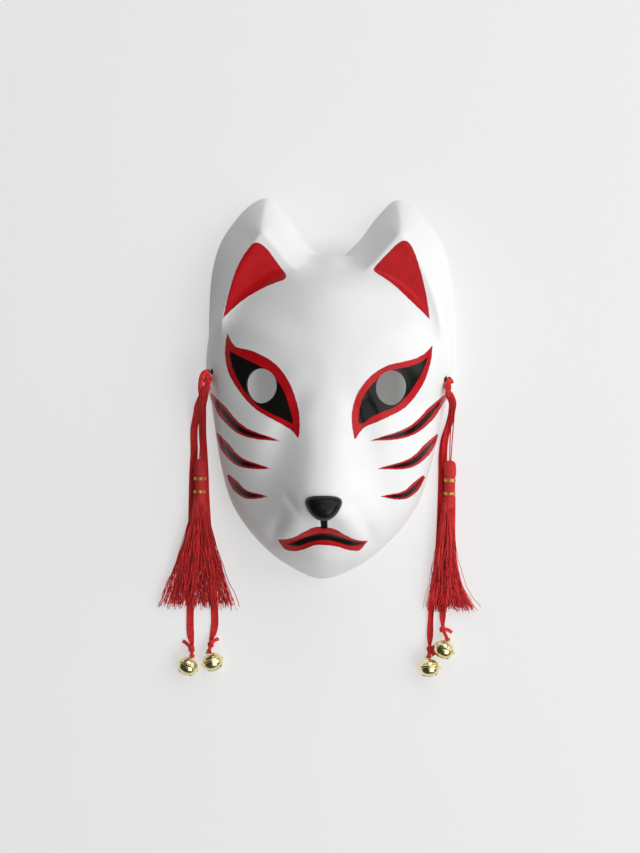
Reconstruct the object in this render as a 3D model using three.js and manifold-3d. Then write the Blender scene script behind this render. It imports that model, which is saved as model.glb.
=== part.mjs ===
// A fox mask: a moulded white shell that lies on its rim with the face up (+Z), the ears towards +Y and the chin
// towards -Y, with a silk tassel and two belled ribbons tied at each side and an elastic strap behind.
// Millimetres. The origin is on the rim's plane, midway between the ear tips and the chin.
import * as THREE from "three";
import { mergeVertices } from "three/addons/utils/BufferGeometryUtils.js";
import Module from "manifold-3d";

// Driving dimensions of the shell.
const maskWidth = 176.4; // across the temples
const maskHeight = 270; // ear tips to chin
const crownDepth = 62; // rim plane to the brow, without the muzzle
const muzzleRise = 26; // how far the muzzle stands out of the brow's level
const noseHalf = [11.4, 8.8, 10.5]; // half the nose's width, length and depth
const noseAt = [-80.8, 79]; // middle of the nose along Y and Z
const noseTaper = 0.36; // how much wider the nose is above its middle, and narrower below
const wall = 2.4;
const earDepth = 36; // rim plane to the front of the ear, at its foot
const earLean = 0.08; // how fast the front of the ear falls back towards its tip
const earLevel = 40; // the level along Y where the ear's front has its depth
const earFade = [8, 48]; // between these levels along Y the front of the ear rises out of the temple
const eyeHoleRadius = 12;
const eyeSpacing = 90; // between the middles of the two eye holes
const eyeLevel = 1; // height of the eye holes above the origin, along Y
const eyeHoleLean = 27; // degrees that an eye hole's axis leans outwards

// Driving dimensions of what is tied to the shell.
const fitGap = 0.3; // clearance between two pieces that touch
const tieHoleRadius = 2.1;
const tieHoleLevels = { left: 10.5, right: 7.6 }; // along Y
const tieHoleHeight = 22; // above the rim
const strapDiameter = 2.4;
const strapKnotRadius = 1.9;
const ribbonWidth = 6;
const ribbonThickness = 0.8;
const floorGap = 0.1; // between the surface that the mask lies on and a cord
const tieKnotRadii = { left: 3.2, right: 2.7 };
const tieKnotLong = 1.15; // a tie knot's length and height against its width
const tieKnotTall = 1.3;
const tieKnotAway = 1.1; // from the wall to a tie knot's middle, against its width
const endKnotRadius = 2.4;
const endKnotLong = 1.2;
const tasselCordDiameter = 1.2;
const tasselRadius = 4.2;
const tasselNeckRadius = 3.6; // under the gold bindings
const tasselLength = 103.5;
const bindingThickness = 0.5;
const upperBindingAt = 14; // from the tassel's top to the middle of the upper binding
const upperBindingWidth = 2.4;
const lowerBindingAt = 23.4;
const lowerBindingWidth = 2.1;
const skirtStart = 0.28; // share of the tassel's length where its threads begin to spread
const bellRadius = 7.3;
const bellHeight = 12.4;
const bellNod = 18; // degrees that a bell's mouth is lifted off the floor
const bellFlange = 1.2; // how far the crimped edge stands out of the bell
const bellFlangeThickness = 1.9; // at its foot
const bellFlangeEdge = 1; // and at its edge
const bellWall = 0.7;
const bellSlotWidth = 1.6;
const bellSlotHoleRadius = 1.7;
const bellSlotReach = 3.9; // from the bell's axis to the middle of each end hole
const bellRingRadius = 1.8; // middle of the wire of the bell's ring
const bellWireRadius = 0.6;

// How finely the free forms are cut into facets.
const faceAround = 52;
const faceRings = 12;
const earAround = 34;
const noseAround = 18;
const noseRings = 9;
const roundSides = 12;
const cordSides = 6;
const knotSides = 8;
const knotRings = 6;
const bellRings = 3; // along each half of a bell
const wireSides = 5;
const strapSteps = 46;
const ribbonSteps = 26;
const tasselCordSteps = 15;

const halfWidth = maskWidth / 2;
const halfHeight = maskHeight / 2;
const belowRim = 3; // how far a cutting form reaches below the rim
const drillLength = 48; // of the tool that cuts the eye holes
const tieDrillLength = 20;

const wasm = await Module();
wasm.setup();

const sides = [["left", -1], ["right", 1]];
const V3 = (x, y, z) => new THREE.Vector3(x, y, z);
const mix = (a, b, share) => a + (b - a) * share;

// A closed three.js geometry as a manifold solid.
function solid(geometry) {
  const bare = geometry.index ? geometry.toNonIndexed() : geometry.clone();
  for (const name of Object.keys(bare.attributes)) if (name !== "position") bare.deleteAttribute(name);
  const merged = mergeVertices(bare, 1e-4);
  const corners = merged.index.array;
  const kept = [];
  for (let i = 0; i < corners.length; i += 3) {
    const [a, b, c] = [corners[i], corners[i + 1], corners[i + 2]];
    if (a !== b && b !== c && a !== c) kept.push(a, b, c);
  }
  const make = (triVerts) =>
    new wasm.Manifold(
      new wasm.Mesh({ numProp: 3, vertProperties: merged.attributes.position.array, triVerts }),
    );
  const made = make(new Uint32Array(kept));
  if (made.volume() > 0) return made;
  for (let i = 0; i < kept.length; i += 3) [kept[i + 1], kept[i + 2]] = [kept[i + 2], kept[i + 1]];
  return make(new Uint32Array(kept));
}

// A manifold solid as a flat-shaded three.js geometry.
function geometryOf(made) {
  const mesh = made.getMesh();
  const geometry = new THREE.BufferGeometry();
  const places = new Float32Array(mesh.numVert * 3);
  for (let i = 0; i < mesh.numVert; i++) {
    places.set(mesh.vertProperties.subarray(i * mesh.numProp, i * mesh.numProp + 3), i * 3);
  }
  geometry.setAttribute("position", new THREE.BufferAttribute(places, 3));
  geometry.setIndex(new THREE.BufferAttribute(mesh.triVerts, 1));
  const flat = geometry.toNonIndexed();
  flat.computeVertexNormals();
  return flat;
}

// The grid of a sphere, carried onto another closed form. place(turn, ring) gives the point at a share of the turn
// round the form and a ring number, from 0, the first pole, to rings, the last pole.
function wrapped(around, rings, place) {
  const geometry = new THREE.SphereGeometry(1, around, rings);
  const uv = geometry.getAttribute("uv");
  const position = geometry.getAttribute("position");
  for (let i = 0; i < position.count; i++) {
    const ring = Math.round((1 - uv.getY(i)) * rings);
    const pole = ring === 0 || ring === rings;
    const turn = pole ? 0 : Math.round(uv.getX(i) * around) % around;
    const p = place(turn / around, ring);
    position.setXYZ(i, p.x, p.y, p.z);
  }
  return geometry;
}

// Straight lines between the points of a table of [at, value] rows.
function follow(table, at) {
  if (at <= table[0][0]) return table[0][1];
  for (let i = 1; i < table.length; i++) {
    const [a, b] = [table[i - 1], table[i]];
    if (at <= b[0]) {
      const t = (at - a[0]) / (b[0] - a[0]);
      return mix(a[1], b[1], t);
    }
  }
  return table[table.length - 1][1];
}

// The rim of the face without its ears: right half, from the chin up, as shares of half the width and height.
const rimShares = [
  [0, -1],
  [0.258, -0.94],
  [0.508, -0.817],
  [0.732, -0.628],
  [0.838, -0.43],
  [0.94, -0.1],
  [1, 0.085],
  [0.985, 0.3],
  [0.9, 0.48],
  [0.7, 0.61],
  [0.4, 0.685],
  [0, 0.7],
];
const faceMiddle = V3(0, -0.037 * halfHeight, 0);

// The moulding isn't quite true: how far it leans towards +X, in shares of half the width, against shares of half the
// height.
const leanShares = [
  [-1, -0.018],
  [-0.74, -0.017],
  [-0.44, -0.011],
  [-0.15, -0.002],
  [0, 0.005],
  [0.15, 0.015],
  [0.3, 0.023],
  [0.45, 0.021],
  [0.6, 0.014],
  [0.81, 0.01],
  [1, 0.008],
];

function lean(y) {
  return halfWidth * follow(leanShares, y / halfHeight);
}

// A point of the straight form as it lies in the leaning one.
function leaned(p) {
  return p.setX(p.x + lean(p.y));
}

const rimRaysKept = 720;
const rimRays = makeRimRays();

// The rim as a table of its distance from the face's middle, against the angle from +X.
function makeRimRays() {
  const right = rimShares.map(([x, y]) => V3(x * halfWidth, y * halfHeight, 0));
  const left = right.slice(1, -1).reverse().map((p) => V3(-p.x, p.y, 0));
  const curve = new THREE.CatmullRomCurve3([...right, ...left], true, "centripetal");
  const rays = curve.getPoints(rimRaysKept).map((p) => {
    const d = p.sub(faceMiddle);
    return [Math.atan2(d.y, d.x), Math.hypot(d.x, d.y)];
  });
  rays.sort((a, b) => a[0] - b[0]);
  const [first, last] = [rays[0], rays[rays.length - 1]];
  return [[last[0] - 2 * Math.PI, last[1]], ...rays, [first[0] + 2 * Math.PI, first[1]]];
}

// How the muzzle and the brow rise along the middle line, and how wide they are, against shares of half the height.
const muzzleAlong = [
  [-0.95, 0],
  [-0.9, 0.31],
  [-0.85, 0.47],
  [-0.8, 0.46],
  [-0.755, 0.55],
  [-0.7, 0.73],
  [-0.637, 0.9],
  [-0.59, 0.97],
  [-0.52, 0.96],
  [-0.37, 0.57],
  [-0.15, 0.15],
  [0.07, 0.07],
  [0.3, 0.13],
  [0.52, 0.2],
  [0.64, 0],
];
const muzzleWidths = [
  [-0.9, 0.4],
  [-0.7, 0.4],
  [-0.59, 0.36],
  [-0.45, 0.3],
  [-0.3, 0.23],
  [-0.08, 0.2],
  [0.2, 0.5],
  [0.5, 0.6],
];

// How square the face's section is, at an angle from +X: round at the sides, fuller at the chin and the crown.
function squareness(angle) {
  const down = Math.max(0, -Math.sin(angle));
  const up = Math.max(0, Math.sin(angle));
  return 2 + 1.2 * down ** 2 + 0.55 * up ** 12;
}

// A soft bump of height 1 at a place, with its two half sizes and its turn in degrees.
function bump(x, y, [atX, atY], [across, along], turn = 0) {
  const [c, s] = [Math.cos(THREE.MathUtils.degToRad(turn)), Math.sin(THREE.MathUtils.degToRad(turn))];
  const [dx, dy] = [x - atX, y - atY];
  return Math.exp(-(((c * dx + s * dy) / across) ** 2) - ((c * dy - s * dx) / along) ** 2);
}

// What is carved on both sides of the face: [height, place, half sizes, turn], in millimetres and degrees.
const carvedPairs = [
  [-2.6, [45, 2], [21, 13], -35], // eye socket
  [-2.2, [25, -22], [9, 26], 24], // inner corner of the eye, down beside the muzzle
  [1.5, [38, 36], [30, 10], 16], // brow
  [1.2, [52, -38], [20, 22], 0], // cheek
  [3, [16, -92], [11, 12], 23], // whisker pad
  [-2, [20, -80], [2.8, 7.5], -39], // crease beside the nose
  [-1.7, [14, -103], [16, 3], -12], // groove of the mouth
  [-2.4, [31, -96], [4.8, 15], 23], // edge between the whisker pad and the jaw
];
const chinBump = [1.9, [0, -119], [13, 7]];
const earInset = [0.45, [12, 91], [12, 8]]; // share by which the crown falls back at the ear's inner foot

function carving(x, y) {
  let relief = chinBump[0] * bump(x, y, chinBump[1], chinBump[2]);
  for (const [height, place, sizes, turn] of carvedPairs) {
    relief += height * bump(Math.abs(x), y, place, sizes, turn);
  }
  return relief;
}

// Height of the face above the rim's plane, at a point of the plane.
function faceHeight(x, y) {
  const [dx, dy] = [x - faceMiddle.x, y - faceMiddle.y];
  const angle = Math.atan2(dy, dx);
  const share = Math.min(1, Math.hypot(dx, dy) / follow(rimRays, angle));
  const power = squareness(angle);
  const fallen = 1 - earInset[0] * bump(Math.abs(x), y, earInset[1], earInset[2]);
  const dome = fallen * (1 - share ** power) ** (1 / power);
  const level = y / halfHeight;
  const across = Math.abs(x) / halfWidth / follow(muzzleWidths, level);
  const muzzle = muzzleRise * follow(muzzleAlong, level) * Math.exp(-(across ** 2.6));
  const fromRim = THREE.MathUtils.smoothstep(1 - share, 0, 0.12);
  return dome * (crownDepth + muzzle) + carving(x, y) * fromRim;
}

// The point of the outer face at a share of the turn and a ring, from the middle (0) to the rim (faceRings).
function facePoint(turn, ring) {
  const angle = turn * 2 * Math.PI - Math.PI;
  const share = Math.sin(((ring / faceRings) * Math.PI) / 2) ** 0.9;
  const reach = follow(rimRays, angle) * share;
  const x = faceMiddle.x + reach * Math.cos(angle);
  const y = faceMiddle.y + reach * Math.sin(angle);
  return V3(x, y, ring === faceRings ? 0 : faceHeight(x, y));
}

// The outward direction of the face at such a point, from its neighbours.
function faceNormal(turn, ring) {
  const step = 0.01;
  const [near, far] = [Math.max(ring - step, step), Math.min(ring + step, faceRings)];
  const out = facePoint(turn, far).sub(facePoint(turn, near));
  const sideways = step / faceAround;
  const round = facePoint(turn + sideways, ring).sub(facePoint(turn - sideways, ring));
  const normal = out.cross(round).normalize();
  if (ring === faceRings) normal.setZ(0).normalize();
  return normal;
}

function faceOuter() {
  return solid(
    wrapped(faceAround, faceRings + 1, (turn, ring) =>
      leaned(ring > faceRings ? faceMiddle.clone() : facePoint(turn, ring)),
    ),
  );
}

// The hollow of the face: the outer form moved in by the wall, and carried on below the rim.
function faceInner() {
  return solid(
    wrapped(faceAround, faceRings + 2, (turn, ring) => {
      if (ring > faceRings + 1) return leaned(faceMiddle.clone()).setZ(-belowRim);
      if (ring === 0) return leaned(facePoint(0, 0)).setZ(facePoint(0, 0).z - wall);
      const at = Math.min(ring, faceRings);
      const p = facePoint(turn, at).addScaledVector(faceNormal(turn, at), -wall);
      if (ring > faceRings) p.setZ(-belowRim);
      return leaned(p);
    }),
  );
}

// The right ear, as pairs of a point on its foot and a point on the ridge above it, in shares of half the width and
// height. The last two pairs are inside the face.
const earShares = [
  [0.08, 0.652, 0.215, 0.563],
  [0.247, 0.8, 0.351, 0.663],
  [0.397, 0.93, 0.47, 0.756],
  [0.527, 1, 0.548, 0.807],
  [0.658, 0.963, 0.612, 0.748],
  [0.796, 0.867, 0.697, 0.667],
  [0.907, 0.748, 0.765, 0.581],
  [0.969, 0.593, 0.816, 0.489],
  [0.993, 0.407, 0.859, 0.37],
  [0.99, 0.222, 0.876, 0.252],
  [0.952, 0.089, 0.862, 0.148],
  [0.624, 0.222, 0.624, 0.267],
  [0.283, 0.444, 0.317, 0.459],
];

// A closed smooth curve through the ear's points, taken from one pair of columns of the table.
function earCurve(column, side) {
  const points = earShares.map((row) => V3(side * row[column] * halfWidth, row[column + 1] * halfHeight, 0));
  return new THREE.CatmullRomCurve3(points, true, "centripetal");
}

// An ear as a closed form, its walls moved in by inset: nothing for the outside, the wall's thickness for the hollow.
function ear(side, inset) {
  const foot = earCurve(0, side);
  const ridge = earCurve(2, side);
  const frontHeight = (y) => {
    const risen = THREE.MathUtils.smoothstep(y, ...earFade);
    return risen * (earDepth - earLean * (y - earLevel)) - inset;
  };
  const middle = V3(side * 0.6 * halfWidth, 0.5 * halfHeight, 0);
  const bottom = inset > 0 ? -belowRim : 0;
  const bottomRings = inset > 0 ? 2 : 1;
  const rings = bottomRings + 2;
  return solid(
    wrapped(earAround, rings, (turn, ring) => {
      if (ring === 0) return leaned(middle.clone()).setZ(frontHeight(middle.y));
      if (ring === rings) return leaned(middle.clone()).setZ(bottom);
      const low = foot.getPoint(turn);
      const high = ridge.getPoint(turn);
      const inwards = high.clone().sub(low);
      const run = Math.max(inwards.length(), 1e-3);
      inwards.divideScalar(run);
      const slope = Math.atan2(frontHeight(high.y) + inset, run);
      if (ring === 1) {
        const p = high.addScaledVector(inwards, inset * Math.tan(slope / 2));
        return leaned(p).setZ(frontHeight(p.y));
      }
      const p = leaned(low.addScaledVector(inwards, inset / Math.sin(slope)));
      return p.setZ(ring === 2 && bottomRings === 2 ? 0 : bottom);
    }),
  );
}

// The nose: a rounded block, narrower towards the mouth.
function nose() {
  const [y, z] = noseAt;
  const power = 2.6;
  const form = wrapped(noseAround, noseRings, (turn, ring) => {
    const [a, b] = [turn * 2 * Math.PI, (ring / noseRings) * Math.PI];
    const [cx, cy, cz] = [Math.cos(a) * Math.sin(b), Math.sin(a) * Math.sin(b), Math.cos(b)];
    const size = (Math.abs(cx) ** power + Math.abs(cy) ** power + Math.abs(cz) ** power) ** (-1 / power);
    const taper = 1 + noseTaper * cy * size;
    return V3(cx * size * taper * noseHalf[0], y + cy * size * noseHalf[1], z + cz * size * noseHalf[2]);
  });
  return solid(form);
}

// A cylinder along an axis, as a cutting form.
function rod(radius, length, middle, axis, sides = roundSides) {
  const geometry = new THREE.CylinderGeometry(radius, radius, length, sides);
  geometry.applyQuaternion(new THREE.Quaternion().setFromUnitVectors(V3(0, 1, 0), axis.clone().normalize()));
  geometry.translate(middle.x, middle.y, middle.z);
  return solid(geometry);
}

// How far out the straight face's wall is, at a level along Y and a height above the rim.
function wallReach(level, height) {
  let [inside, outside] = [0.5 * halfWidth, 1.2 * halfWidth];
  for (let i = 0; i < 40; i++) {
    const x = (inside + outside) / 2;
    if (faceHeight(x, level) > height) inside = x;
    else outside = x;
  }
  return inside;
}

// The same place along X on the leaning face's left (-1) or right (1) side.
function wallAt(side, level, height) {
  return side * wallReach(level, height) + lean(level);
}

// The outward direction of the straight face's right wall there, as its shares along X and Z.
function wallNormal(level, height) {
  const fall = (wallReach(level, height - 1) - wallReach(level, height + 1)) / 2;
  return [1 / Math.hypot(1, fall), fall / Math.hypot(1, fall)];
}

function maskShell() {
  const outer = faceOuter().add(nose()).add(ear(1, 0)).add(ear(-1, 0));
  const inner = faceInner().add(ear(1, wall)).add(ear(-1, wall));
  let shell = outer.subtract(inner);
  const tilt = THREE.MathUtils.degToRad(eyeHoleLean);
  for (const [name, side] of sides) {
    const x = (side * eyeSpacing) / 2;
    const eye = V3(x, eyeLevel, faceHeight(x - lean(eyeLevel), eyeLevel));
    const axis = V3(side * Math.sin(tilt), 0, Math.cos(tilt));
    shell = shell.subtract(rod(eyeHoleRadius, drillLength, eye, axis, 2 * roundSides));
    const level = tieHoleLevels[name];
    const tie = V3(wallAt(side, level, tieHoleHeight), level, tieHoleHeight);
    shell = shell.subtract(rod(tieHoleRadius, tieDrillLength, tie, V3(1, 0, 0)));
  }
  return shell;
}

// A cord along a route of points. Its section is a list of [across, up] points, and across stays level.
function cord(outline, route, steps) {
  const path = new THREE.CatmullRomCurve3(route.map((p) => V3(...p)), false, "centripetal");
  const rings = steps + 2;
  const form = wrapped(outline.length, rings, (turn, ring) => {
    const at = Math.min(Math.max(ring - 1, 0), steps) / steps;
    const middle = path.getPointAt(at);
    if (ring === 0 || ring === rings) return middle;
    const along = path.getTangentAt(at);
    const across = along.clone().cross(V3(0, 0, 1)).normalize();
    const up = across.clone().cross(along);
    const [a, b] = outline[Math.round(turn * outline.length)];
    return middle.addScaledVector(across, a).addScaledVector(up, b);
  });
  return geometryOf(solid(form));
}

// The section of a round cord.
function roundSection(diameter) {
  const corners = [];
  for (let i = 0; i < cordSides; i++) {
    const angle = ((i + 0.5) / cordSides) * 2 * Math.PI;
    corners.push([(diameter / 2) * Math.cos(angle), (diameter / 2) * Math.sin(angle)]);
  }
  return corners;
}

// The section of a flat ribbon.
const ribbonSection = [
  [-ribbonWidth / 2, -ribbonThickness / 2],
  [ribbonWidth / 2, -ribbonThickness / 2],
  [ribbonWidth / 2, ribbonThickness / 2],
  [-ribbonWidth / 2, ribbonThickness / 2],
];

// A small knot: a rounded lump.
function knot(rx, ry, rz) {
  return new THREE.SphereGeometry(1, knotSides, knotRings).scale(rx, ry, rz);
}

// A ring turned about +Y, from its inner and outer radius and its width.
function binding(inner, outer, width) {
  const profile = [
    [inner, -width / 2],
    [outer, -width / 2],
    [outer, width / 2],
    [inner, width / 2],
    [inner, -width / 2],
  ];
  return new THREE.LatheGeometry(profile.map(([r, y]) => new THREE.Vector2(r, y)), roundSides);
}

// A tassel along -Y from its top at the origin: a round head, a neck under the bindings and a skirt of threads. Each
// row is a share of the length and the half width and height there, before the skirt widens. The skirt reaches its
// [left, right] half widths at its end, and the powers say how late it opens to either side.
function tassel(reach, powers) {
  const neck = tasselNeckRadius / tasselRadius;
  const rows = [
    [0.012, 0.6, 0.6],
    [0.04, 0.96, 0.96],
    [0.1, 1, 1],
    [0.125, neck, neck],
    [0.268, neck, neck],
    [0.29, 1, 0.98],
    [0.45, 1, 0.98],
    [0.65, 1, 0.9],
    [0.85, 1, 0.75],
    [0.985, 1, 0.6],
  ];
  const rings = rows.length + 1;
  const form = wrapped(roundSides, rings, (turn, ring) => {
    if (ring === 0) return V3(0, 0, 0);
    const row = rows[Math.min(ring, rows.length) - 1];
    const at = ring === rings ? 1 : row[0];
    const drop = at > skirtStart ? tasselRadius * (1 - row[2]) : 0;
    if (ring === rings) return V3((reach[1] - reach[0]) / 2, -tasselLength, -drop);
    const angle = turn * 2 * Math.PI;
    const hand = Math.cos(angle) > 0 ? 1 : 0;
    const opened = Math.max(0, (at - skirtStart) / (1 - skirtStart)) ** powers[hand];
    const half = row[1] * tasselRadius + opened * (reach[hand] - tasselRadius);
    return V3(half * Math.cos(angle), -at * tasselLength, row[2] * tasselRadius * Math.sin(angle) - drop);
  });
  return geometryOf(solid(form));
}

// A jingle bell about +Y with its ring up: a hollow body crimped at its waist, and a slot with round ends below.
function bell() {
  const half = bellHeight / 2;
  const beforeFlange = 0.35; // share of a ring left free for the flange
  const fullness = [0.8, 0.9]; // below 1 the section is fuller than a circle
  const profile = (radius, height, flange) => {
    const quarter = [];
    for (let i = 1; i <= bellRings; i++) {
      const a = (i / (bellRings + beforeFlange)) * (Math.PI / 2);
      quarter.push([radius * Math.sin(a) ** fullness[0], height * Math.cos(a) ** fullness[1]]);
    }
    const points = [new THREE.Vector2(0, -height)];
    for (const [r, y] of quarter) points.push(new THREE.Vector2(r, -y));
    if (flange > 0) {
      points.push(new THREE.Vector2(radius, -bellFlangeThickness / 2));
      points.push(new THREE.Vector2(radius + flange, -bellFlangeEdge / 2));
      points.push(new THREE.Vector2(radius + flange, bellFlangeEdge / 2));
      points.push(new THREE.Vector2(radius, bellFlangeThickness / 2));
    } else points.push(new THREE.Vector2(radius, 0));
    for (const [r, y] of quarter.reverse()) points.push(new THREE.Vector2(r, y));
    points.push(new THREE.Vector2(0, height));
    return points;
  };
  const body = solid(new THREE.LatheGeometry(profile(bellRadius, half, bellFlange), roundSides));
  const inside = profile(bellRadius - bellWall, half - bellWall, 0);
  const hollow = solid(new THREE.LatheGeometry(inside, roundSides));
  const slot = new THREE.BoxGeometry(2 * bellSlotReach, half, bellSlotWidth).translate(0, -half, 0);
  const ring = new THREE.TorusGeometry(bellRingRadius, bellWireRadius, wireSides, roundSides);
  ring.translate(0, half + bellRingRadius - bellWireRadius / 2, 0);
  let made = body.add(solid(ring)).subtract(hollow).subtract(solid(slot));
  for (const side of [1, -1]) {
    made = made.subtract(rod(bellSlotHoleRadius, half, V3(side * bellSlotReach, -half, 0), V3(0, 1, 0)));
  }
  return geometryOf(made);
}

const finishes = {
  shell: new THREE.MeshStandardMaterial({ color: 0xf2f2f0, roughness: 0.42, metalness: 0 }),
  silk: new THREE.MeshStandardMaterial({ color: 0xb5101a, roughness: 0.55, metalness: 0 }),
  ribbon: new THREE.MeshStandardMaterial({ color: 0xc01a20, roughness: 0.6, metalness: 0 }),
  gold: new THREE.MeshStandardMaterial({ color: 0xd8a24a, roughness: 0.35, metalness: 1 }),
  brass: new THREE.MeshStandardMaterial({ color: 0xd9c878, roughness: 0.18, metalness: 1 }),
  elastic: new THREE.MeshStandardMaterial({ color: 0x141414, roughness: 0.8, metalness: 0 }),
};

const mask = new THREE.Group();

// Adds a named piece at a place.
function add(name, geometry, finish, place = [0, 0, 0]) {
  const mesh = new THREE.Mesh(geometry, finish);
  mesh.name = name;
  mesh.position.set(...place);
  mask.add(mesh);
  return mesh;
}

add("mask_shell", geometryOf(maskShell()), finishes.shell);

const onFloor = floorGap + ribbonThickness / 2; // height of a ribbon that lies on the floor
const onRibbon = onFloor + ribbonThickness + fitGap; // height of a ribbon that lies on another
// Height of a tassel's axis, with its bindings clear of the ribbons.
const headHeight = onRibbon + ribbonThickness / 2 + fitGap + tasselRadius + bindingThickness;
const strapHeight = floorGap + strapDiameter / 2; // height of the strap where it lies on the floor

// Where the strap ends, just outside a temple's hole, and where it turns down inside the wall.
function strapEnd(name) {
  const level = tieHoleLevels[name];
  const reach = wallReach(level, tieHoleHeight);
  const turn = reach - wall / wallNormal(level, tieHoleHeight)[0] - strapDiameter;
  return { level, endX: reach + 0.5, turnX: turn };
}

// Where the red knot of a side lies, against the sloping wall, and where the ribbons and the cord leave it.
function tiePlace(name, side) {
  const radius = tieKnotRadii[name];
  const y = tieHoleLevels[name] - strapKnotRadius - fitGap - tieKnotLong * radius;
  const [outX, outZ] = wallNormal(y, tieHoleHeight);
  const away = tieKnotAway * radius + fitGap;
  const x = wallAt(side, y, tieHoleHeight) + side * outX * away;
  return { x, y, z: tieHoleHeight + outZ * away, exitY: y - tieKnotLong * radius - fitGap };
}

const ends = Object.fromEntries(sides.map(([name]) => [name, strapEnd(name)]));
const ties = Object.fromEntries(sides.map(([name, side]) => [name, tiePlace(name, side)]));

// The routes that the cords follow. The strap's first point is in its knot's hole, and it lies in the hollow.
const strapRoute = [
  [-ends.left.endX, ends.left.level, tieHoleHeight],
  [-ends.left.turnX, ends.left.level, tieHoleHeight],
  [-76, 9.6, 20.6],
  [-75.6, 6.5, 16.5],
  [-75.6, 2, 11],
  [-75.6, -3.5, 6],
  [-75, -9, 2.6],
  [-74, -16, strapHeight],
  [-70, -29, strapHeight],
  [-61, -43, strapHeight],
  [-48, -53, strapHeight],
  [-32, -58, strapHeight],
  [-16, -58, strapHeight],
  [0, -55, strapHeight],
  [16, -53, strapHeight],
  [32, -54, strapHeight],
  [48, -52, strapHeight],
  [61, -43, strapHeight],
  [70, -29, strapHeight],
  [74, -16, strapHeight],
  [75, -9, 2.6],
  [75.6, -3.5, 6],
  [75.6, 1, 11],
  [75.6, 4.5, 16.5],
  [76, 6.9, 20.6],
  [ends.right.turnX, ends.right.level, tieHoleHeight],
  [ends.right.endX, ends.right.level, tieHoleHeight],
].map(([x, y, z]) => [x + lean(y), y, z]);
const nod = THREE.MathUtils.degToRad(bellNod);
const flangeReach = (bellRadius + bellFlange) * Math.cos(nod) + (bellFlangeEdge / 2) * Math.sin(nod);
const bellMiddle = flangeReach + floorGap;
const endHeight = Math.max(bellMiddle - Math.sin(nod) * bellHeight, endKnotRadius + floorGap);
const ribbonRoutes = {
  left_outer: [
    [ties.left.x, ties.left.exitY, ties.left.z + 1.1],
    [-86.1, -3, 24],
    [-88.9, -8.5, 19.8],
    [-91.6, -14, 13.8],
    [-92.8, -19, 8.8],
    [-94, -24, 4.6],
    [-95.2, -30, 1.9],
    [-95.4, -36, 0.9],
    [-95.1, -46, onFloor],
    [-95.7, -62, onFloor],
    [-95.9, -78, onFloor],
    [-96, -94, onFloor],
    [-96.2, -110, onFloor],
    [-96.4, -128, onFloor],
    [-96.5, -146, onFloor],
    [-96.4, -160, onFloor],
    [-96.3, -172, onFloor],
    [-95.7, -179, 1.2],
    [-94.6, -184.3, 2.6],
  ],
  left_inner: [
    [ties.left.x, ties.left.exitY, ties.left.z - 1.1],
    [-85.9, -3, 21.8],
    [-87.4, -8.5, 17],
    [-88.6, -13, 12],
    [-89, -18, 7.2],
    [-89.2, -23, 3.4],
    [-89.3, -28, 1.3],
    [-89.2, -34, onFloor],
    [-88.3, -46, onFloor],
    [-87.2, -62, onFloor],
    [-86.4, -78, onFloor],
    [-85.2, -94, onFloor],
    [-83.6, -112, onFloor],
    [-81.8, -130, onFloor],
    [-80, -148, onFloor],
    [-78.9, -162, onFloor],
    [-78.7, -170, 0.8],
    [-79.6, -176, 1.5],
    [-81, -180.6, 2.6],
  ],
  right_outer: [
    [ties.right.x, ties.right.exitY, ties.right.z + 1.1],
    [86.6, -4.5, 22.9],
    [88.4, -9, 18.8],
    [88.3, -14, 13.2],
    [87.7, -19, 8.4],
    [86.8, -24, 5],
    [85.2, -30, 2.9],
    [84, -37, onRibbon],
    [83.6, -46, onRibbon],
    [84, -62, onRibbon],
    [85, -78, onRibbon],
    [85.8, -94, onRibbon],
    [86.1, -108, onRibbon],
    [85.9, -122, 1.3],
    [85.1, -136, 0.7],
    [84.2, -148, onFloor],
    [84.1, -156, 0.7],
    [84.2, -162, 1.4],
    [84.3, -167, 2.6],
  ],
  right_inner: [
    [ties.right.x, ties.right.exitY, ties.right.z - 1.1],
    [86.3, -4.5, 20.5],
    [87.9, -8.5, 16.5],
    [87.9, -13, 11.6],
    [87.3, -18, 7],
    [86.3, -23, 3.4],
    [84.6, -29, 1.2],
    [82.8, -35, onFloor],
    [81.4, -46, onFloor],
    [81.4, -58, onFloor],
    [81.2, -80, onFloor],
    [80.4, -108, onFloor],
    [78, -137, onFloor],
    [76.2, -152, onFloor],
    [75.6, -166, onFloor],
    [75.4, -175, 1],
    [75.3, -181, 2.6],
  ],
};
// Where each bell's middle lies, and how far its mouth turns from -Y towards +X, in degrees.
const bellPlaces = {
  left_outer: { x: -97, y: -199.5, turn: -23 },
  left_inner: { x: -79.2, y: -196, turn: 23 },
  right_outer: { x: 85.2, y: -184.2, turn: -22 },
  right_inner: { x: 75, y: -197.4, turn: 4 },
};

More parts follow.
